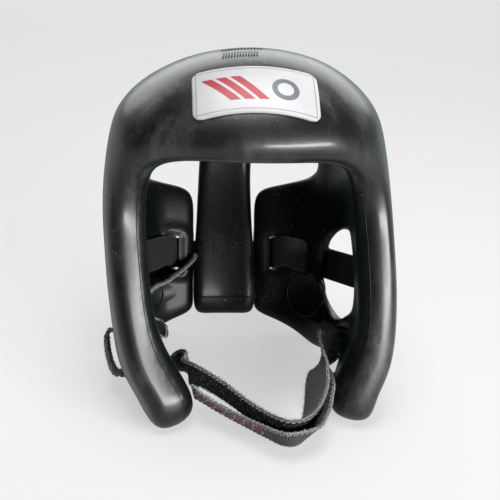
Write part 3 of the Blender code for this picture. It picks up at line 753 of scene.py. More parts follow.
def tube_rings(points, normals, radius, sides=6, flat=1.0):
    """Rings of a thin bead along points, its height along the normals."""
    rings = []
    for k, point in enumerate(points):
        before, after = points[max(0, k - 1)], points[min(len(points) - 1, k + 1)]
        along = (after - before).normalized()
        out = squared(normals[k], along)
        side = along.cross(out)
        ring = []
        for s in range(sides):
            angle = 2 * math.pi * s / sides
            ring.append(point + side * math.cos(angle) * radius + out * math.sin(angle) * radius * flat)
        rings.append(ring)
    return rings


def slot_shapes(routes):
    """Frames of the slots' mouths on both faces: middle, long way, short way and outward way."""
    shapes = []
    for stations in routes:
        for stretch in slot_stretches(stations):
            for k in (1, -2):
                middle, across, _, _, along = stretch[k]
                across = squared(across, along)
                shapes.append((middle, across, along.cross(across), along))
    return shapes


def rectangle_distance(p, shape):
    """Distance on the slot's own plane from its outline, less than nothing inside."""
    middle, long_way, short_way, along = shape
    d = p - middle
    if abs(d.dot(along)) > SLOT_LIP_LIMIT:
        return 1.0
    x = abs(d.dot(long_way)) - STRAP_WIDTH / 2 - SLOT_CLEARANCE
    y = abs(d.dot(short_way)) - STRAP_THICKNESS / 2 - SLOT_CLEARANCE
    outside = math.hypot(max(x, 0), max(y, 0))
    return outside + min(max(x, y), 0)


def soften_slots(mesh, shapes):
    """Raise a soft lip round each slot's mouth."""
    normals = [v.normal.copy() for v in mesh.vertices]
    for v, normal in zip(mesh.vertices, normals):
        rise = 0.0
        for shape in shapes:
            d = rectangle_distance(v.co, shape)
            if abs(d) < SLOT_LIP_LIMIT:
                rise = max(rise, math.exp(-(((d - SLOT_LIP_REACH) / SLOT_LIP_FADE) ** 2)))
        if rise > SLOT_LIP_LEAST:
            v.co += normal * SLOT_LIP_RISE * rise


def contour_lines(mesh, values, level, wanted):
    """Lines along which a value given at the corners has that level, as lists of points and normals."""
    crossings, links = {}, {}
    for polygon in mesh.polygons:
        if not wanted(polygon):
            continue
        cut = []
        corners = list(polygon.vertices)
        for a, b in zip(corners, corners[1:] + corners[:1]):
            if (values[a] - level) * (values[b] - level) < 0:
                key = (min(a, b), max(a, b))
                if key not in crossings:
                    t = (level - values[key[0]]) / (values[key[1]] - values[key[0]])
                    first, last = mesh.vertices[key[0]], mesh.vertices[key[1]]
                    normal = first.normal.lerp(last.normal, t).normalized()
                    crossings[key] = (first.co.lerp(last.co, t), normal)
                cut.append(key)
        if len(cut) == 2:
            links.setdefault(cut[0], []).append(cut[1])
            links.setdefault(cut[1], []).append(cut[0])
    lines, seen = [], set()
    starts = [key for key in links if len(links[key]) == 1] + list(links)
    for start in starts:
        if start in seen:
            continue
        line, here = [start], start
        seen.add(start)
        while True:
            onward = [key for key in links[here] if key not in seen]
            if not onward:
                break
            here = onward[0]
            seen.add(here)
            line.append(here)
        if len(line) > 8:
            lines.append([crossings[key] for key in line])
    return lines


def smooth_line(line, rounds=3):
    """The line's points drawn towards their neighbours."""
    points = [p for p, _ in line]
    for _ in range(rounds):
        inner = [(a + b * 2 + c) / 4 for a, b, c in zip(points, points[1:], points[2:])]
        points = [points[0]] + inner + [points[-1]]
    return points, [n for _, n in line]


def resampled(stations, step):
    """The stations of a band at even, finer steps."""
    fine = [stations[0]]
    for first, last in zip(stations, stations[1:]):
        steps = max(1, math.ceil((last[0] - first[0]).length / step))
        for k in range(1, steps + 1):
            t = k / steps
            across = first[1].slerp(last[1], t)
            along = first[4].lerp(last[4], t).normalized()
            fine.append((first[0].lerp(last[0], t), across, 0, 0, along))
    return fine


def curved(stations, step):
    """Catmull-Rom points through the stations at finer steps."""
    places = [stations[0]] + list(stations) + [stations[-1]]
    fine = []
    for a, b, c, d in zip(places, places[1:], places[2:], places[3:]):
        steps = max(1, round((c[0] - b[0]).length / step))
        for k in range(steps):
            t = k / steps
            middle = curve_value(a[0], b[0], c[0], d[0], t)
            along = b[4].lerp(c[4], t).normalized()
            fine.append((middle, b[1].slerp(c[1], t), 0, 0, along))
    fine.append((stations[-1][0], stations[-1][1], 0, 0, stations[-1][4]))
    return fine


def band_piece(name, stations, relief):
    """A woven band: its two faces carry the weave's relief, its edges are rounded."""
    soup = Soup()
    rings, spots, lengths = [], [], [0.0]
    fine = curved(stations, FINE_STEP)
    for before, after in zip(fine, fine[1:]):
        lengths.append(lengths[-1] + (after[0] - before[0]).length)
    for (middle, across, _, _, along), length in zip(fine, lengths):
        across = squared(across, along)
        up = along.cross(across)
        ring = []
        for face in (1, -1):
            for c in range(BAND_COLUMNS + 1):
                share = (c / BAND_COLUMNS * 2 - 1) * -face
                edge = max(0.0, abs(share) - EDGE_FROM) / (1 - EDGE_FROM)
                half = STRAP_THICKNESS / 2 * (1 - EDGE_THINNER * edge**2)
                half += relief(share, length, face) * (1 - edge) - RELIEF_SINK
                ring.append(middle + across * share * STRAP_WIDTH / 2 + up * face * half)
                spots.append((share, length, face))
        rings.append(ring)
    soup.ring_tube(rings, False)
    made = soup.piece(name)
    for key, values in zip(("across", "along", "face"), zip(*spots)):
        give_values(made, key, values)
    return made, fine, lengths


def rib_relief(share, length, face):
    return RIB_RELIEF * math.sin(2 * math.pi * length / RIB_PITCH)


def loop_relief(share, length, face):
    spot = Vector((share * STRAP_WIDTH / 2, length, face * 0.01)) * LOOP_FINENESS
    return LOOP_RELIEF * noise.noise(spot)


def random_way(spread):
    return Vector([random.gauss(0, spread) for _ in range(3)])


def fuzz(soup, fine, amount, length=FUZZ_LENGTH):
    """Short loops and loose fibres on a band's faces and edges."""
    for middle, across, _, _, along in fine:
        across = squared(across, along)
        up = along.cross(across)
        for _ in range(amount):
            face = random.choice((1, -1))
            share = random.uniform(-1, 1)
            if random.random() < FUZZ_AT_EDGE:
                share = random.choice((-1, 1)) * random.uniform(*FUZZ_EDGE)
            root = middle + across * share * STRAP_WIDTH / 2 + up * face * STRAP_THICKNESS * 0.45
            root += along * random.uniform(-0.5, 0.5) * FINE_STEP
            way = up * face + random_way(FUZZ_SPREAD)
            if abs(share) > EDGE_FROM:
                way += across * math.copysign(random.uniform(*FUZZ_LEAN), share)
            way.normalize()
            side = way.cross(random_way(1)).normalized() * FUZZ_WIDTH
            soup.blade(root, root + way * length * random.uniform(*FUZZ_SHARE), side)


def stitches(soup, fine, lengths, share, face):
    """A row of short thread stitches along a band."""
    start = 0
    for k in range(1, len(fine)):
        if lengths[k] - lengths[start] < STITCH_PITCH:
            continue
        chosen = fine[start : k + 1]
        cut = max(2, int(len(chosen) * STITCH_FILL))
        points, normals = [], []
        for j, (middle, across, _, _, along) in enumerate(chosen[:cut]):
            across = squared(across, along)
            up = along.cross(across) * face
            rise = STRAP_THICKNESS / 2 - STITCH_SINK + math.sin(math.pi * j / max(1, cut - 1)) * STITCH_BOW
            points.append(middle + across * share * STRAP_WIDTH / 2 + up * rise)
            normals.append(up)
        soup.ring_tube(tube_rings(points, normals, STITCH_RADIUS, 5), False)
        start = k


class Paint:
    """A material with short calls for its nodes."""

    def __init__(self, name):
        self.material = bpy.data.materials.new(name)
        self.material.use_nodes = True
        self.tree = self.material.node_tree
        self.shader = self.tree.nodes["Principled BSDF"]
        self.place = self.node("ShaderNodeTexCoord").outputs["Object"]

    def node(self, kind, **values):
        made = self.tree.nodes.new(kind)
        for key, value in values.items():
            setattr(made, key, value)
        return made

    def feed(self, socket, value):
        """Link a socket, or set it to a number or a colour."""
        if isinstance(value, bpy.types.NodeSocket):
            self.tree.links.new(value, socket)
        else:
            socket.default_value = (*value, 1) if isinstance(value, tuple) else value

    def math(self, operation, *values):
        made = self.node("ShaderNodeMath", operation=operation)
        for socket, value in zip(made.inputs, values):
            self.feed(socket, value)
        return made.outputs[0]

    def times(self, first, last):
        return self.math("MULTIPLY", first, last)

    def plus(self, first, last):
        return self.math("ADD", first, last)

    def noise(self, scale, detail, rough, stretch=None):
        made = self.node("ShaderNodeTexNoise")
        vector = self.place
        if stretch:
            mapping = self.node("ShaderNodeMapping")
            mapping.inputs["Scale"].default_value = stretch
            self.feed(mapping.inputs["Vector"], vector)
            vector = mapping.outputs[0]
        for key, given in (("Vector", vector), ("Scale", scale), ("Detail", detail), ("Roughness", rough)):
            self.feed(made.inputs[key], given)
        return made.outputs["Fac"]

    def cells(self, scale):
        made = self.node("ShaderNodeTexVoronoi")
        self.feed(made.inputs["Vector"], self.place)
        self.feed(made.inputs["Scale"], scale)
        return made.outputs["Distance"]

    def ramp(self, value, low, high, start=0.0, end=1.0):
        made = self.node("ShaderNodeMapRange", interpolation_type="SMOOTHSTEP")
        keys = ("Value", "From Min", "From Max", "To Min", "To Max")
        for key, given in zip(keys, (value, low, high, start, end)):
            self.feed(made.inputs[key], given)
        return made.outputs["Result"]

    def falling(self, value, low, high):
        return self.ramp(value, low, high, 1.0, 0.0)

    def mix(self, share, first, last):
        made = self.node("ShaderNodeMix", data_type="RGBA")
        for place, given in ((0, share), (6, first), (7, last)):
            self.feed(made.inputs[place], given)
        return made.outputs[2]

    def value(self, name):
        return self.node("ShaderNodeAttribute", attribute_name=name).outputs["Fac"]

    def bump(self, height, strength, distance):
        made = self.node("ShaderNodeBump")
        for key, given in (("Strength", strength), ("Distance", distance), ("Height", height)):
            self.feed(made.inputs[key], given)
        self.feed(self.shader.inputs["Normal"], made.outputs["Normal"])

    def set(self, **values):
        for key, value in values.items():
            self.feed(self.shader.inputs[key.replace("_", " ")], value)
        return self.material


def foam_paint():
    """Near-black moulded skin, hazed with grey in random patches that are fuller on the outer faces than the
    inner, with light dust, fine grain and a dark green painted reflection at grazing angles.
    """
    p = Paint("foam_skin_look")
    outside = p.value("across")
    edge = p.node("ShaderNodeLayerWeight")
    edge.inputs["Blend"].default_value = 0.22
    facing = edge.outputs["Facing"]
    # Grey haze in random patches, fuller on the outer faces than on the inner ones.
    haze = p.times(p.ramp(p.noise(9.0, 5.0, 0.62), 0.38, 0.66), p.ramp(outside, 0.10, 0.55, 0.22, 1.0))
    cloud = p.times(haze, p.ramp(p.noise(26.0, 6.0, 0.7, stretch=(1.0, 1.0, 0.35)), 0.42, 0.74))
    dust = p.times(p.ramp(p.noise(420.0, 2.0, 0.6), 0.69, 0.76), p.ramp(p.noise(14.0, 3.0, 0.6), 0.48, 0.66))
    skin = p.mix(cloud, (0.0018, 0.0022, 0.0025), (0.048, 0.050, 0.054))
    # Painted reflection: the skin turns dark green towards grazing angles, standing in for green
    # surroundings mirrored in the gloss.
    skin = p.mix(p.ramp(facing, 0.38, 0.76), skin, (0.012, 0.046, 0.028))
    skin = p.mix(p.times(dust, 0.35), skin, (0.30, 0.31, 0.31))
    rough = p.plus(0.34, p.times(p.noise(38.0, 6.0, 0.6), 0.16))
    p.bump(p.plus(p.noise(900.0, 3.0, 0.6), p.times(p.noise(150.0, 4.0, 0.6), 1.6)), 0.22, 0.00025)
    gloss = p.times(p.ramp(facing, 0.40, 0.74, 1.0, 0.09), p.ramp(outside, 0.10, 0.55, 0.30, 1.0))
    return p.set(
        Base_Color=skin,
        Roughness=p.plus(rough, p.times(cloud, 0.10)),
        Specular_IOR_Level=p.times(gloss, 0.27),
        Coat_Weight=p.times(gloss, 0.24),
        Coat_Roughness=p.plus(0.17, p.times(cloud, 0.22)),
    )


def plain_paint(name, colour, roughness, grain=0.0):
    p = Paint(name)
    if grain:
        p.bump(p.noise(700.0, 3.0, 0.6), grain, 0.0003)
    return p.set(Base_Color=colour, Roughness=roughness)


def webbing_paint(name, dark, light, pale_edge, ribbed, pale_back=0.0):
    """Woven band: dark yarn with lighter fibres, pale stitched edges and a ribbed back."""
    p = Paint(name)
    speck = p.falling(p.cells(1500.0), 0.12, 0.42)
    speck = p.times(speck, p.ramp(p.noise(420.0, 3.0, 0.6), 0.42, 0.62))
    rib = p.ramp(p.math("SINE", p.times(p.value("along"), 2 * math.pi / RIB_PITCH)), -0.6, 0.9)
    share = p.math("MAXIMUM", speck, p.times(rib, 0.8)) if ribbed else speck
    back = p.times(p.ramp(p.value("face"), 0.1, -0.1), pale_back)
    yarn = p.mix(back, p.mix(share, dark, light), p.mix(rib, (0.020, 0.021, 0.023), (0.17, 0.175, 0.18)))
    edge = p.ramp(p.math("ABSOLUTE", p.value("across")), 0.88, 0.95)
    flecks = p.times(p.ramp(p.noise(1300.0, 2.0, 0.7), 0.46, 0.56), pale_edge)
    yarn = p.mix(p.times(edge, flecks), yarn, (0.28, 0.285, 0.29))
    p.bump(p.plus(p.noise(1500.0, 3.0, 0.7), speck), 0.5, 0.0004)
    return p.set(Base_Color=yarn, Roughness=0.9, Specular_IOR_Level=0.2)


def tinted_paint(name, first, last, roughness):
    p = Paint(name)
    return p.set(Base_Color=p.mix(p.value("tint"), first, last), Roughness=roughness)


def label_paint():
    """White print with a thin grey inner line, three slanted red bars and a grey ring."""
    p = Paint("label_print_look")
    u, v = p.value("u"), p.value("v")

    def within(value, low, high, soft=0.00025):
        return p.times(p.ramp(value, low - soft, low + soft), p.falling(value, high - soft, high + soft))

    def inset_box(inset):
        wide, tall = LABEL_WIDTH / 2 - inset, LABEL_HEIGHT / 2 - inset
        return p.times(within(u, -wide, wide), within(v, -tall, tall))

    line = p.math("SUBTRACT", inset_box(PRINT_LINE[0]), inset_box(PRINT_LINE[1]))
    slant = p.plus(u, p.times(v, PRINT_SLANT))
    bars = within(slant, *PRINT_BARS[0], PRINT_SOFT)
    for low, high in PRINT_BARS[1:]:
        bars = p.math("MAXIMUM", bars, within(slant, low, high, PRINT_SOFT))
    bars = p.times(bars, p.times(within(u, *PRINT_BARS_WIDE), within(v, *PRINT_BARS_TALL)))
    aways = [p.math("SUBTRACT", at, middle) for at, middle in zip((u, v), PRINT_RING_CENTRE)]
    reach = p.math("SQRT", p.plus(*[p.math("POWER", away, 2.0) for away in aways]))
    discs = [p.falling(reach, radius - PRINT_SOFT, radius + PRINT_SOFT) for radius in PRINT_RING]
    ring = p.math("SUBTRACT", *discs)
    shown = p.mix(p.ramp(p.noise(60.0, 4.0, 0.6), 0.3, 0.8), (0.27, 0.27, 0.275), (0.30, 0.30, 0.305))
    shown = p.mix(p.times(line, 0.75), shown, (0.11, 0.115, 0.12))
    shown = p.mix(bars, shown, (0.20, 0.006, 0.018))
    shown = p.mix(ring, shown, (0.07, 0.075, 0.08))
    p.bump(p.noise(300.0, 3.0, 0.5), 0.05, 0.0004)
    return p.set(Base_Color=shown, Roughness=0.40, Specular_IOR_Level=0.25)


def tab_paint():
    """Woven tab: a row of plain red lozenges edged with white on black."""
    p = Paint("tab_weave_look")
    from_middle = p.math("ABSOLUTE", p.value("across"))
    phase = p.math("FRACT", p.times(p.value("along"), 1 / LOZENGE_PITCH))
    peak = p.times(p.math("ABSOLUTE", p.math("SUBTRACT", phase, 0.5)), 2.0)
    height = p.plus(from_middle, p.times(peak, 0.62))
    weave = p.ramp(p.noise(1400.0, 2.0, 0.7), 0.40, 0.60)
    ground = p.mix(weave, (0.006, 0.007, 0.007), (0.045, 0.047, 0.05))
    ground = p.mix(p.falling(height, 0.74, 0.80), ground, (0.30, 0.30, 0.30))
    red = p.mix(weave, (0.10, 0.009, 0.012), (0.20, 0.026, 0.032))
    ground = p.mix(p.falling(height, 0.60, 0.66), ground, red)
    ground = p.mix(p.times(p.ramp(from_middle, 0.90, 0.95), weave), ground, (0.28, 0.285, 0.285))
    p.bump(p.noise(1500.0, 2.0, 0.7), 0.4, 0.0004)
    return p.set(Base_Color=ground, Roughness=0.85, Specular_IOR_Level=0.2)


def own(made, material):
    """Give a shown piece its material and its body."""
    made.data.materials.clear()
    made.data.materials.append(material)
    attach(made, "root")
    return made


# Placing of the whole, found as in the CAD
coarse = cage_object(1)
coarse_mesh = bpy.data.meshes.new_from_object(coarse.evaluated_get(bpy.context.evaluated_depsgraph_get()))
coarse_tree = tree_of(coarse_mesh)
corner_places = [v.co.copy() for v in coarse_mesh.vertices]
turn = Matrix.Rotation(resting_tilt(corner_places), 4, "X")
placing = Matrix.Translation((0, 0, -min((turn @ p).z for p in corner_places))) @ turn
placed = [placing @ p for p in corner_places]
cad_low, cad_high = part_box("shell")
placed_low = Vector([min(p[axis] for p in placed) for axis in range(3)])
placed_high = Vector([max(p[axis] for p in placed) for axis in range(3)])
shift = ((cad_low + cad_high) - (placed_low + placed_high)) / 2
bpy.data.objects.remove(coarse, do_unlink=True)
shell = applied(cage_object(FINE_LEVELS))
head_places = [v.co.copy() for v in shell.data.vertices]
shift.z = -min((placing @ p).z for p in head_places)

mirrored_rows = [dict(row, azimuth=-row["azimuth"]) for row in REAR_HALF[1:]]
rear_stations = smooth_stations(
    control_stations(coarse_tree, mirrored_rows[::-1] + REAR_HALF, placing, STRAP_THICKNESS)
)
chin_rows = CHIN_LEFT + leaned_front() + CHIN_RIGHT + shifted_front()
chin_stations = smooth_stations(control_stations(coarse_tree, chin_rows, placing, STRAP_THICKNESS))


def moved(stations):
    return [(station[0] + shift, *station[1:]) for station in stations]


rear_stations, chin_stations = moved(rear_stations), moved(chin_stations)
placing = Matrix.Translation(shift) @ placing

# Shell
shell.data.transform(placing)
shell.data.update()
slots = slot_shapes([rear_stations, chin_stations])
soften_slots(shell.data, slots)
shell.data.update()
shell_tree = tree_of(shell.data)

across_values = [item.value for item in shell.data.attributes["across"].data]
beads = Soup()


def front_rim(polygon):
    """Whether a face lies on the cheeks' front rims, below the brow."""
    p = head_places[polygon.vertices[0]]
    return p.y < RIM_BEHIND and p.z < RIM_BELOW


def pad_step(polygon):
    """Whether a face lies on the nape pad's inner side."""
    p = [head_places[k] for k in polygon.vertices]
    middle = sum(p, Vector()) / len(p)
    inner = sum(across_values[k] for k in polygon.vertices) / len(p)
    return abs(middle.x) < STEP_HALF_WIDTH and middle.y > STEP_BEHIND and inner < STEP_INNER


for level_value, radius, wanted, values, flat in (
    (PARTING_SHARE, PARTING_RADIUS, front_rim, across_values, PARTING_FLAT),
    (STEP_DEPTH * CHEEK_DROP, STEP_RADIUS, pad_step, [p.z for p in head_places], STEP_FLAT),
):
    for line in contour_lines(shell.data, values, level_value, wanted):
        points, normals = smooth_line(line)
        beads.ring_tube(tube_rings(points, normals, radius, 6, flat), False)


def mesh_of(name, form):
    """A mesh from a bmesh, which is then freed."""
    mesh = bpy.data.meshes.new(name)
    form.to_mesh(mesh)
    form.free()
    return mesh


def slot_mesh(stretch):
    """A flat band with round edges, a little larger than the webbing."""
    wide, thick = STRAP_WIDTH + 2 * SLOT_CLEARANCE, STRAP_THICKNESS + 2 * SLOT_CLEARANCE
    band = bmesh.new()
    rings = []
    for middle, across, _, _, along in stretch:
        across = squared(across, along)
        up = along.cross(across)
        ring = []
        for side in (1, -1):
            for k in range(7):
                angle = math.pi * (k / 6 - 0.5)
                x = side * (wide / 2 - thick / 2 + math.cos(angle) * thick / 2)
                ring.append(band.verts.new(middle + across * x + up * side * math.sin(angle) * thick / 2))
        rings.append(ring)
    for first, last in zip(rings, rings[1:]):
        for k in range(len(first)):
            n = (k + 1) % len(first)
            band.faces.new([first[k], first[n], last[n], last[k]])
    band.faces.new(rings[0])
    band.faces.new(rings[-1])
    bmesh.ops.recalc_face_normals(band, faces=band.faces)
    return mesh_of("slot_cutter", band)


def dish_mesh(radius):
    """The cap of a ball, deep enough to start inside the hollow."""
    ball = bmesh.new()
    bmesh.ops.create_uvsphere(ball, u_segments=DISH_POINTS, v_segments=DISH_RINGS, radius=radius)
    everything = ball.verts[:] + ball.edges[:] + ball.faces[:]
    cut_level = Vector((0, 0, radius - DISH_CAP_DEPTH))
    bmesh.ops.bisect_plane(ball, geom=everything, plane_co=cut_level, plane_no=(0, 0, 1), clear_inner=True)
    bmesh.ops.holes_fill(ball, edges=[edge for edge in ball.edges if edge.is_boundary])
    bmesh.ops.recalc_face_normals(ball, faces=ball.faces)
    return mesh_of("dish_cutter", ball)


def lip_rings(centre, look_out):
    """Rings of a bead laid on the foam round a dish."""
    side_way = look_out.orthogonal().normalized()
    up_way = look_out.cross(side_way)
    points, normals = [], []
    for k in range(DISH_POINTS):
        angle = 2 * math.pi * k / DISH_POINTS
        aim = centre + (side_way * math.cos(angle) + up_way * math.sin(angle)) * DISH_RADIUS
        found = shell_tree.ray_cast(aim - look_out * LIP_PROBE, look_out)
        points.append(found[0] if found[0] else aim)
        normals.append(found[1] if found[0] else -look_out)
    rings = []
    for k, point in enumerate(points):
        along = (points[(k + 1) % DISH_POINTS] - points[k - 1]).normalized()
        out = squared(normals[k], along)
        across = along.cross(out)
        angles = [2 * math.pi * s / DISH_LIP_SIDES for s in range(DISH_LIP_SIDES)]
        wide = across * DISH_LIP_WIDTH / 2
        rings.append([point + wide * math.cos(a) + out * DISH_LIP_RISE * math.sin(a) for a in angles])
    return rings


cutters = []
for stations in (rear_stations, chin_stations):
    for stretch in slot_stretches(stations):
        cutters.append(linked("slot_cutter", slot_mesh(stretch)))
dish_ball_radius = (DISH_RADIUS**2 + DISH_DEPTH**2) / (2 * DISH_DEPTH)
for side in (-1, 1):
    place = wall_hit(coarse_tree, side * DISH_AZIMUTH, DISH_HEIGHT * CHEEK_DROP, False)
    outward = level_way(side * DISH_AZIMUTH)
    made = linked("dish_cutter", dish_mesh(dish_ball_radius))
    to_dish = outward.to_track_quat("Z", "Y").to_matrix().to_4x4()
    ball_middle = place - outward * (dish_ball_radius - DISH_DEPTH)
    made.matrix_world = placing @ Matrix.Translation(ball_middle) @ to_dish
    cutters.append(made)
    beads.ring_tube(lip_rings(placing @ place, placing.to_3x3() @ outward), True)

uncut_faces = [list(polygon.vertices) for polygon in shell.data.polygons]
for made in cutters:
    cut = shell.modifiers.new("Cut", "BOOLEAN")
    cut.object = made
    cut.operation = "DIFFERENCE"
    cut.solver = "EXACT"
applied(shell)
for made in cutters:
    bpy.data.objects.remove(made, do_unlink=True)
for polygon in shell.data.polygons:
    polygon.use_smooth = True
shell.data.set_sharp_from_angle(angle=math.radians(CUT_EDGE_DEGREES))

# The cuts leave the new corners without a depth across the foam, so it is read again from the uncut form
depths = []
for vertex in shell.data.vertices:
    corners = uncut_faces[shell_tree.find_nearest(vertex.co)[2]]
    depths.append(sum(across_values[k] for k in corners) / len(corners))
if "across" in shell.data.attributes:
    shell.data.attributes.remove(shell.data.attributes["across"])
give_values(shell, "across", depths)
shell.data.update()

foam = foam_paint()
own(shell, foam)
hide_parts("shell")

# Ribs on the dome
for row in RIB_ROWS:
    for k in range(row["count"]):
        x = row["x_from"] + row["x_step"] * k
        points, normals = [], []
        for j in range(RIB_POINTS):
            t = j / (RIB_POINTS - 1) - 0.5
            start = Vector((x + row["slant"] * t * row["length"], row["y"] + t * row["length"], ABOVE_DOME))
            found = shell_tree.ray_cast(start, Vector((0, 0, -1)))
            points.append(found[0] - found[1] * RIB_SINK)
            normals.append(found[1])
        rings = tube_rings(points, normals, RIB_RADIUS, 8, RIB_HEIGHT)
        for end in (0, -1):
            rings[end] = [points[end] + (q - points[end]) * RIB_TIP for q in rings[end]]
        beads.ring_tube(rings, False)


def pad_bead(outline, closed):
    """A bead on the nape pad, along an outline seen from the front."""
    hits = [shell_tree.ray_cast(Vector((x, 0.0, z)), Vector((0, 1, 0))) for x, z in outline]
    hits += hits[:2] if closed else []
    rings = tube_rings([hit[0] for hit in hits], [hit[1] for hit in hits], MARK_RADIUS)
    beads.ring_tube(rings, False)


# Mark on the nape pad
mark_x, mark_z = MARK_CENTRE
mark_frame = []
for k in range(MARK_POINTS):
    angle = 2 * math.pi * k / MARK_POINTS
    x, z = math.cos(angle), math.sin(angle)
    squash = (abs(x) ** MARK_SQUARENESS + abs(z) ** MARK_SQUARENESS) ** (-1 / MARK_SQUARENESS)
    mark_frame.append((mark_x + MARK_HALF[0] * x * squash, mark_z + MARK_HALF[1] * z * squash))
pad_bead(mark_frame, True)
for aside in (-MARK_BAR_ASIDE, MARK_BAR_ASIDE):
    steps = (-1, -0.5, 0, 0.5, 1)
    bar = [(mark_x + aside + MARK_BAR_HALF[0] * t, mark_z + MARK_BAR_HALF[1] * t) for t in steps]
    pad_bead(bar, False)
own(beads.piece("moulded_lines"), foam)

# Light dust specks on the foam
specks = Soup()
for _ in range(SPECKS):
    way = random_way(1).normalized()
    found = shell_tree.ray_cast(SPECK_MIDDLE + way * SPECK_START, -way)
    if found[0] is None:
        continue
    out = found[1] if found[1].dot(way) > 0 else -found[1]
    one = out.orthogonal().normalized()
    two = out.cross(one)
    wide = random.uniform(*SPECK_SIZES)
    low = found[0] - out * SPECK_SINK
    ring = [low + (one * math.cos(a) + two * math.sin(a)) * wide for a in SPECK_CORNERS]
    specks.ring_tube([ring, [q + out * 2 * SPECK_SINK for q in ring]], False)
own(specks.piece("dust_specks", False), plain_paint("dust_look", (0.20, 0.20, 0.20), 0.9))

# Rear elastic
rear, rear_fine, _ = band_piece("rear_elastic_band", rear_stations, rib_relief)
rear_look = webbing_paint("rear_elastic_look", (0.005, 0.005, 0.006), (0.022, 0.022, 0.024), 0.10, True)
own(rear, rear_look)
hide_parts("rear_strap")

# Chin strap, its ribbed elastic and its tab
pieces = [resampled(piece, STATION_STEP) for piece in split_at_ends(chin_stations)]
loop_look = webbing_paint("loop_webbing_look", (0.006, 0.007, 0.007), (0.075, 0.078, 0.082), 0.6, False, 1.0)
rib_look = webbing_paint("ribbed_elastic_look", (0.006, 0.007, 0.008), (0.10, 0.105, 0.11), 0.7, True)
strap, strap_fine, strap_lengths = band_piece("chin_loop_webbing", pieces[0], loop_relief)
own(strap, loop_look)
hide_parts("chin_strap")
elastic, elastic_fine, elastic_lengths = band_piece("chin_ribbed_elastic", pieces[1], rib_relief)
own(elastic, rib_look)
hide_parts("chin_elastic")
tab, tab_fine, tab_lengths = band_piece("chin_woven_tab", pieces[2], loop_relief)
own(tab, tab_paint())
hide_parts("chin_tab")

# Fuzz and stitches
hair = Soup()
fuzz(hair, strap_fine, FUZZ_PER_STEP)
fuzz_look = tinted_paint("fuzz_look", (0.008, 0.009, 0.009), (0.17, 0.175, 0.18), 0.95)
own(hair.piece("loop_fuzz", False), fuzz_look)
fine_hair = Soup()
fuzz(fine_hair, rear_fine, REAR_FUZZ_PER_STEP, SHORT_FUZZ_LENGTH)
fuzz(fine_hair, elastic_fine, ELASTIC_FUZZ_PER_STEP, SHORT_FUZZ_LENGTH)
fine_fuzz_look = tinted_paint("elastic_fuzz_look", (0.008, 0.008, 0.009), (0.035, 0.035, 0.037), 0.95)
own(fine_hair.piece("elastic_fuzz", False), fine_fuzz_look)
thread = Soup()
stitch_share = 1 - 2 * STITCH_INSET / STRAP_WIDTH
for share in (-stitch_share, stitch_share):
    for face in (1, -1):
        stitches(thread, strap_fine, strap_lengths, share, face)
        stitches(thread, elastic_fine, elastic_lengths, share, face)
        stitches(thread, tab_fine, tab_lengths, share, face)
own(thread.piece("edge_stitches"), plain_paint("thread_look", (0.17, 0.175, 0.18), 0.8, 0.3))


def label_piece():
    """The label's thin plate, laid on the brow with rounded edges and a skirt down into the foam."""
    centre = coarse_tree.ray_cast(Vector((0, -FAR, LABEL_RISE)), Vector((0, 1, 0)))[0]
    outward = centre.normalized()
    downward = Vector((1, 0, 0)).cross(outward)
    places, faces, us, vs, keys = [], [], [], [], {}
    for j in range(LABEL_ROWS + 1):
        v = LABEL_HEIGHT * (0.5 - j / LABEL_ROWS)
        past = max(0.0, LABEL_CORNER - (LABEL_HEIGHT / 2 - abs(v)))
        inset = LABEL_CORNER - math.sqrt(max(0.0, LABEL_CORNER**2 - past**2))
        for i in range(LABEL_COLUMNS + 1):
            u = (2 * i / LABEL_COLUMNS - 1) * (LABEL_WIDTH / 2 - inset)
            drop = LABEL_ARCH * (u / (LABEL_WIDTH / 2)) ** 2
            start = centre + Vector((u, 0, 0)) + downward * (v - drop) + outward * HEAD_FRONT
            spot, out, _, _ = shell_tree.ray_cast(placing @ start, placing.to_3x3() @ -outward)
            keys[i, j] = len(places)
            edge = min(LABEL_WIDTH / 2 - inset - abs(u), LABEL_HEIGHT / 2 - abs(v))
            round_off = LABEL_ROUND * max(0.0, 1 - edge / LABEL_ROUND_REACH)
            places.append(spot + out * (LABEL_SEAT + LABEL_THICKNESS - round_off))
            us.append(u)
            vs.append(v)
    for i in range(LABEL_COLUMNS):
        for j in range(LABEL_ROWS):
            faces.append((keys[i, j], keys[i, j + 1], keys[i + 1, j + 1], keys[i + 1, j]))
    border = [(i, 0) for i in range(LABEL_COLUMNS)] + [(LABEL_COLUMNS, j) for j in range(LABEL_ROWS)]
    border += [(i, LABEL_ROWS) for i in range(LABEL_COLUMNS, 0, -1)]
    border += [(0, j) for j in range(LABEL_ROWS, 0, -1)]
    skirt = {}
    for key in border:
        top = keys[key]
        near = shell_tree.find_nearest(places[top])
        skirt[key] = len(places)
        places.append(near[0] - near[1] * LABEL_SINK)
        us.append(us[top])
        vs.append(vs[top])
    for key, after in zip(border, border[1:] + border[:1]):
        faces.append((keys[key], keys[after], skirt[after], skirt[key]))
    made = mesh_piece("forehead_label", places, faces)
    give_values(made, "u", us)
    give_values(made, "v", vs)
    return made


label = label_piece()
own(label, label_paint())
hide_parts("front_label")

# Floor
bpy.ops.mesh.primitive_plane_add(size=14, location=(0, 0, 0))
floor = bpy.context.object
floor.name = "floor"
ground = Paint("floor_look")
ground.set(Base_Color=(0.17, 0.17, 0.17), Roughness=0.9, Specular_IOR_Level=0.0)
ground.set(Emission_Color=(1.0, 1.0, 1.0), Emission_Strength=0.54)
floor.data.materials.append(ground.material)

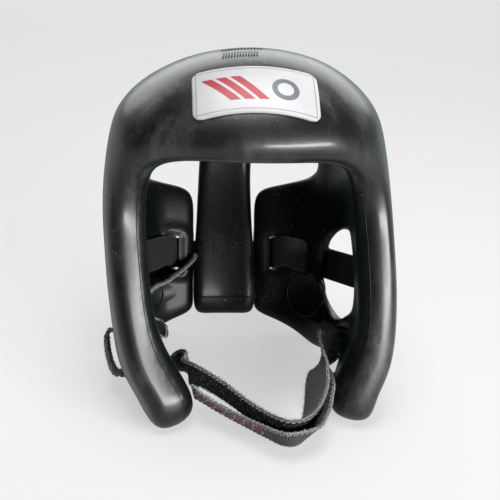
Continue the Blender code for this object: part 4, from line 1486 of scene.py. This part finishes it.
# Light
world = bpy.data.worlds.new("studio")
bpy.context.scene.world = world
world.use_nodes = True
world.node_tree.nodes["Background"].inputs["Color"].default_value = (1, 1, 1, 1)
world.node_tree.nodes["Background"].inputs["Strength"].default_value = 0.02

LIT_MIDDLE = Vector((0, 0, 0.13))
LIGHTS = [
    dict(name="key", azimuth=37, elevation=12, distance=1.5, wide=1.5, tall=0.24, radiance=50),
    dict(name="back", azimuth=178, elevation=23, distance=2.8, wide=5.4, tall=1.6, radiance=3.5),
    dict(name="top", azimuth=0, elevation=88, distance=1.25, wide=0.8, tall=0.8, radiance=13.5),
]


def way_to(place):
    """Direction from the object to a light or the camera, by its azimuth and elevation in degrees."""
    rise = math.radians(place["elevation"])
    return level_way(place["azimuth"]) * math.cos(rise) + Vector((0, 0, math.sin(rise)))


for light in LIGHTS:
    data = bpy.data.lights.new(light["name"], "AREA")
    data.shape = "RECTANGLE"
    data.size, data.size_y = light["wide"], light["tall"]
    data.energy = light["radiance"] * math.pi * light["wide"] * light["tall"]
    way = way_to(light)
    aim = (-way).to_track_quat("-Z", "Y").to_matrix().to_4x4()
    linked(light["name"], data).matrix_world = Matrix.Translation(LIT_MIDDLE + way * light["distance"]) @ aim

# Camera
CAMERA = dict(azimuth=-6.113, elevation=24.459, distance=0.7010, roll=2.742, lens=67.536)
TARGET = Vector((0.0015, 0.0, 0.0993))
away = way_to(CAMERA)
level_right = (-away).cross(Vector((0, 0, 1))).normalized()
level_up = level_right.cross(-away)
roll = math.radians(CAMERA["roll"])
right_way = level_right * math.cos(roll) + level_up * math.sin(roll)
up_way = level_up * math.cos(roll) - level_right * math.sin(roll)
camera_data = bpy.data.cameras.new("camera")
camera_data.sensor_width = 36
camera_data.lens = CAMERA["lens"]
camera = linked("camera", camera_data)
basis = Matrix((right_way, up_way, away)).transposed().to_4x4()
camera.matrix_world = Matrix.Translation(TARGET + away * CAMERA["distance"]) @ basis
bpy.context.scene.camera = camera

bpy.context.scene.view_settings.view_transform = "Standard"
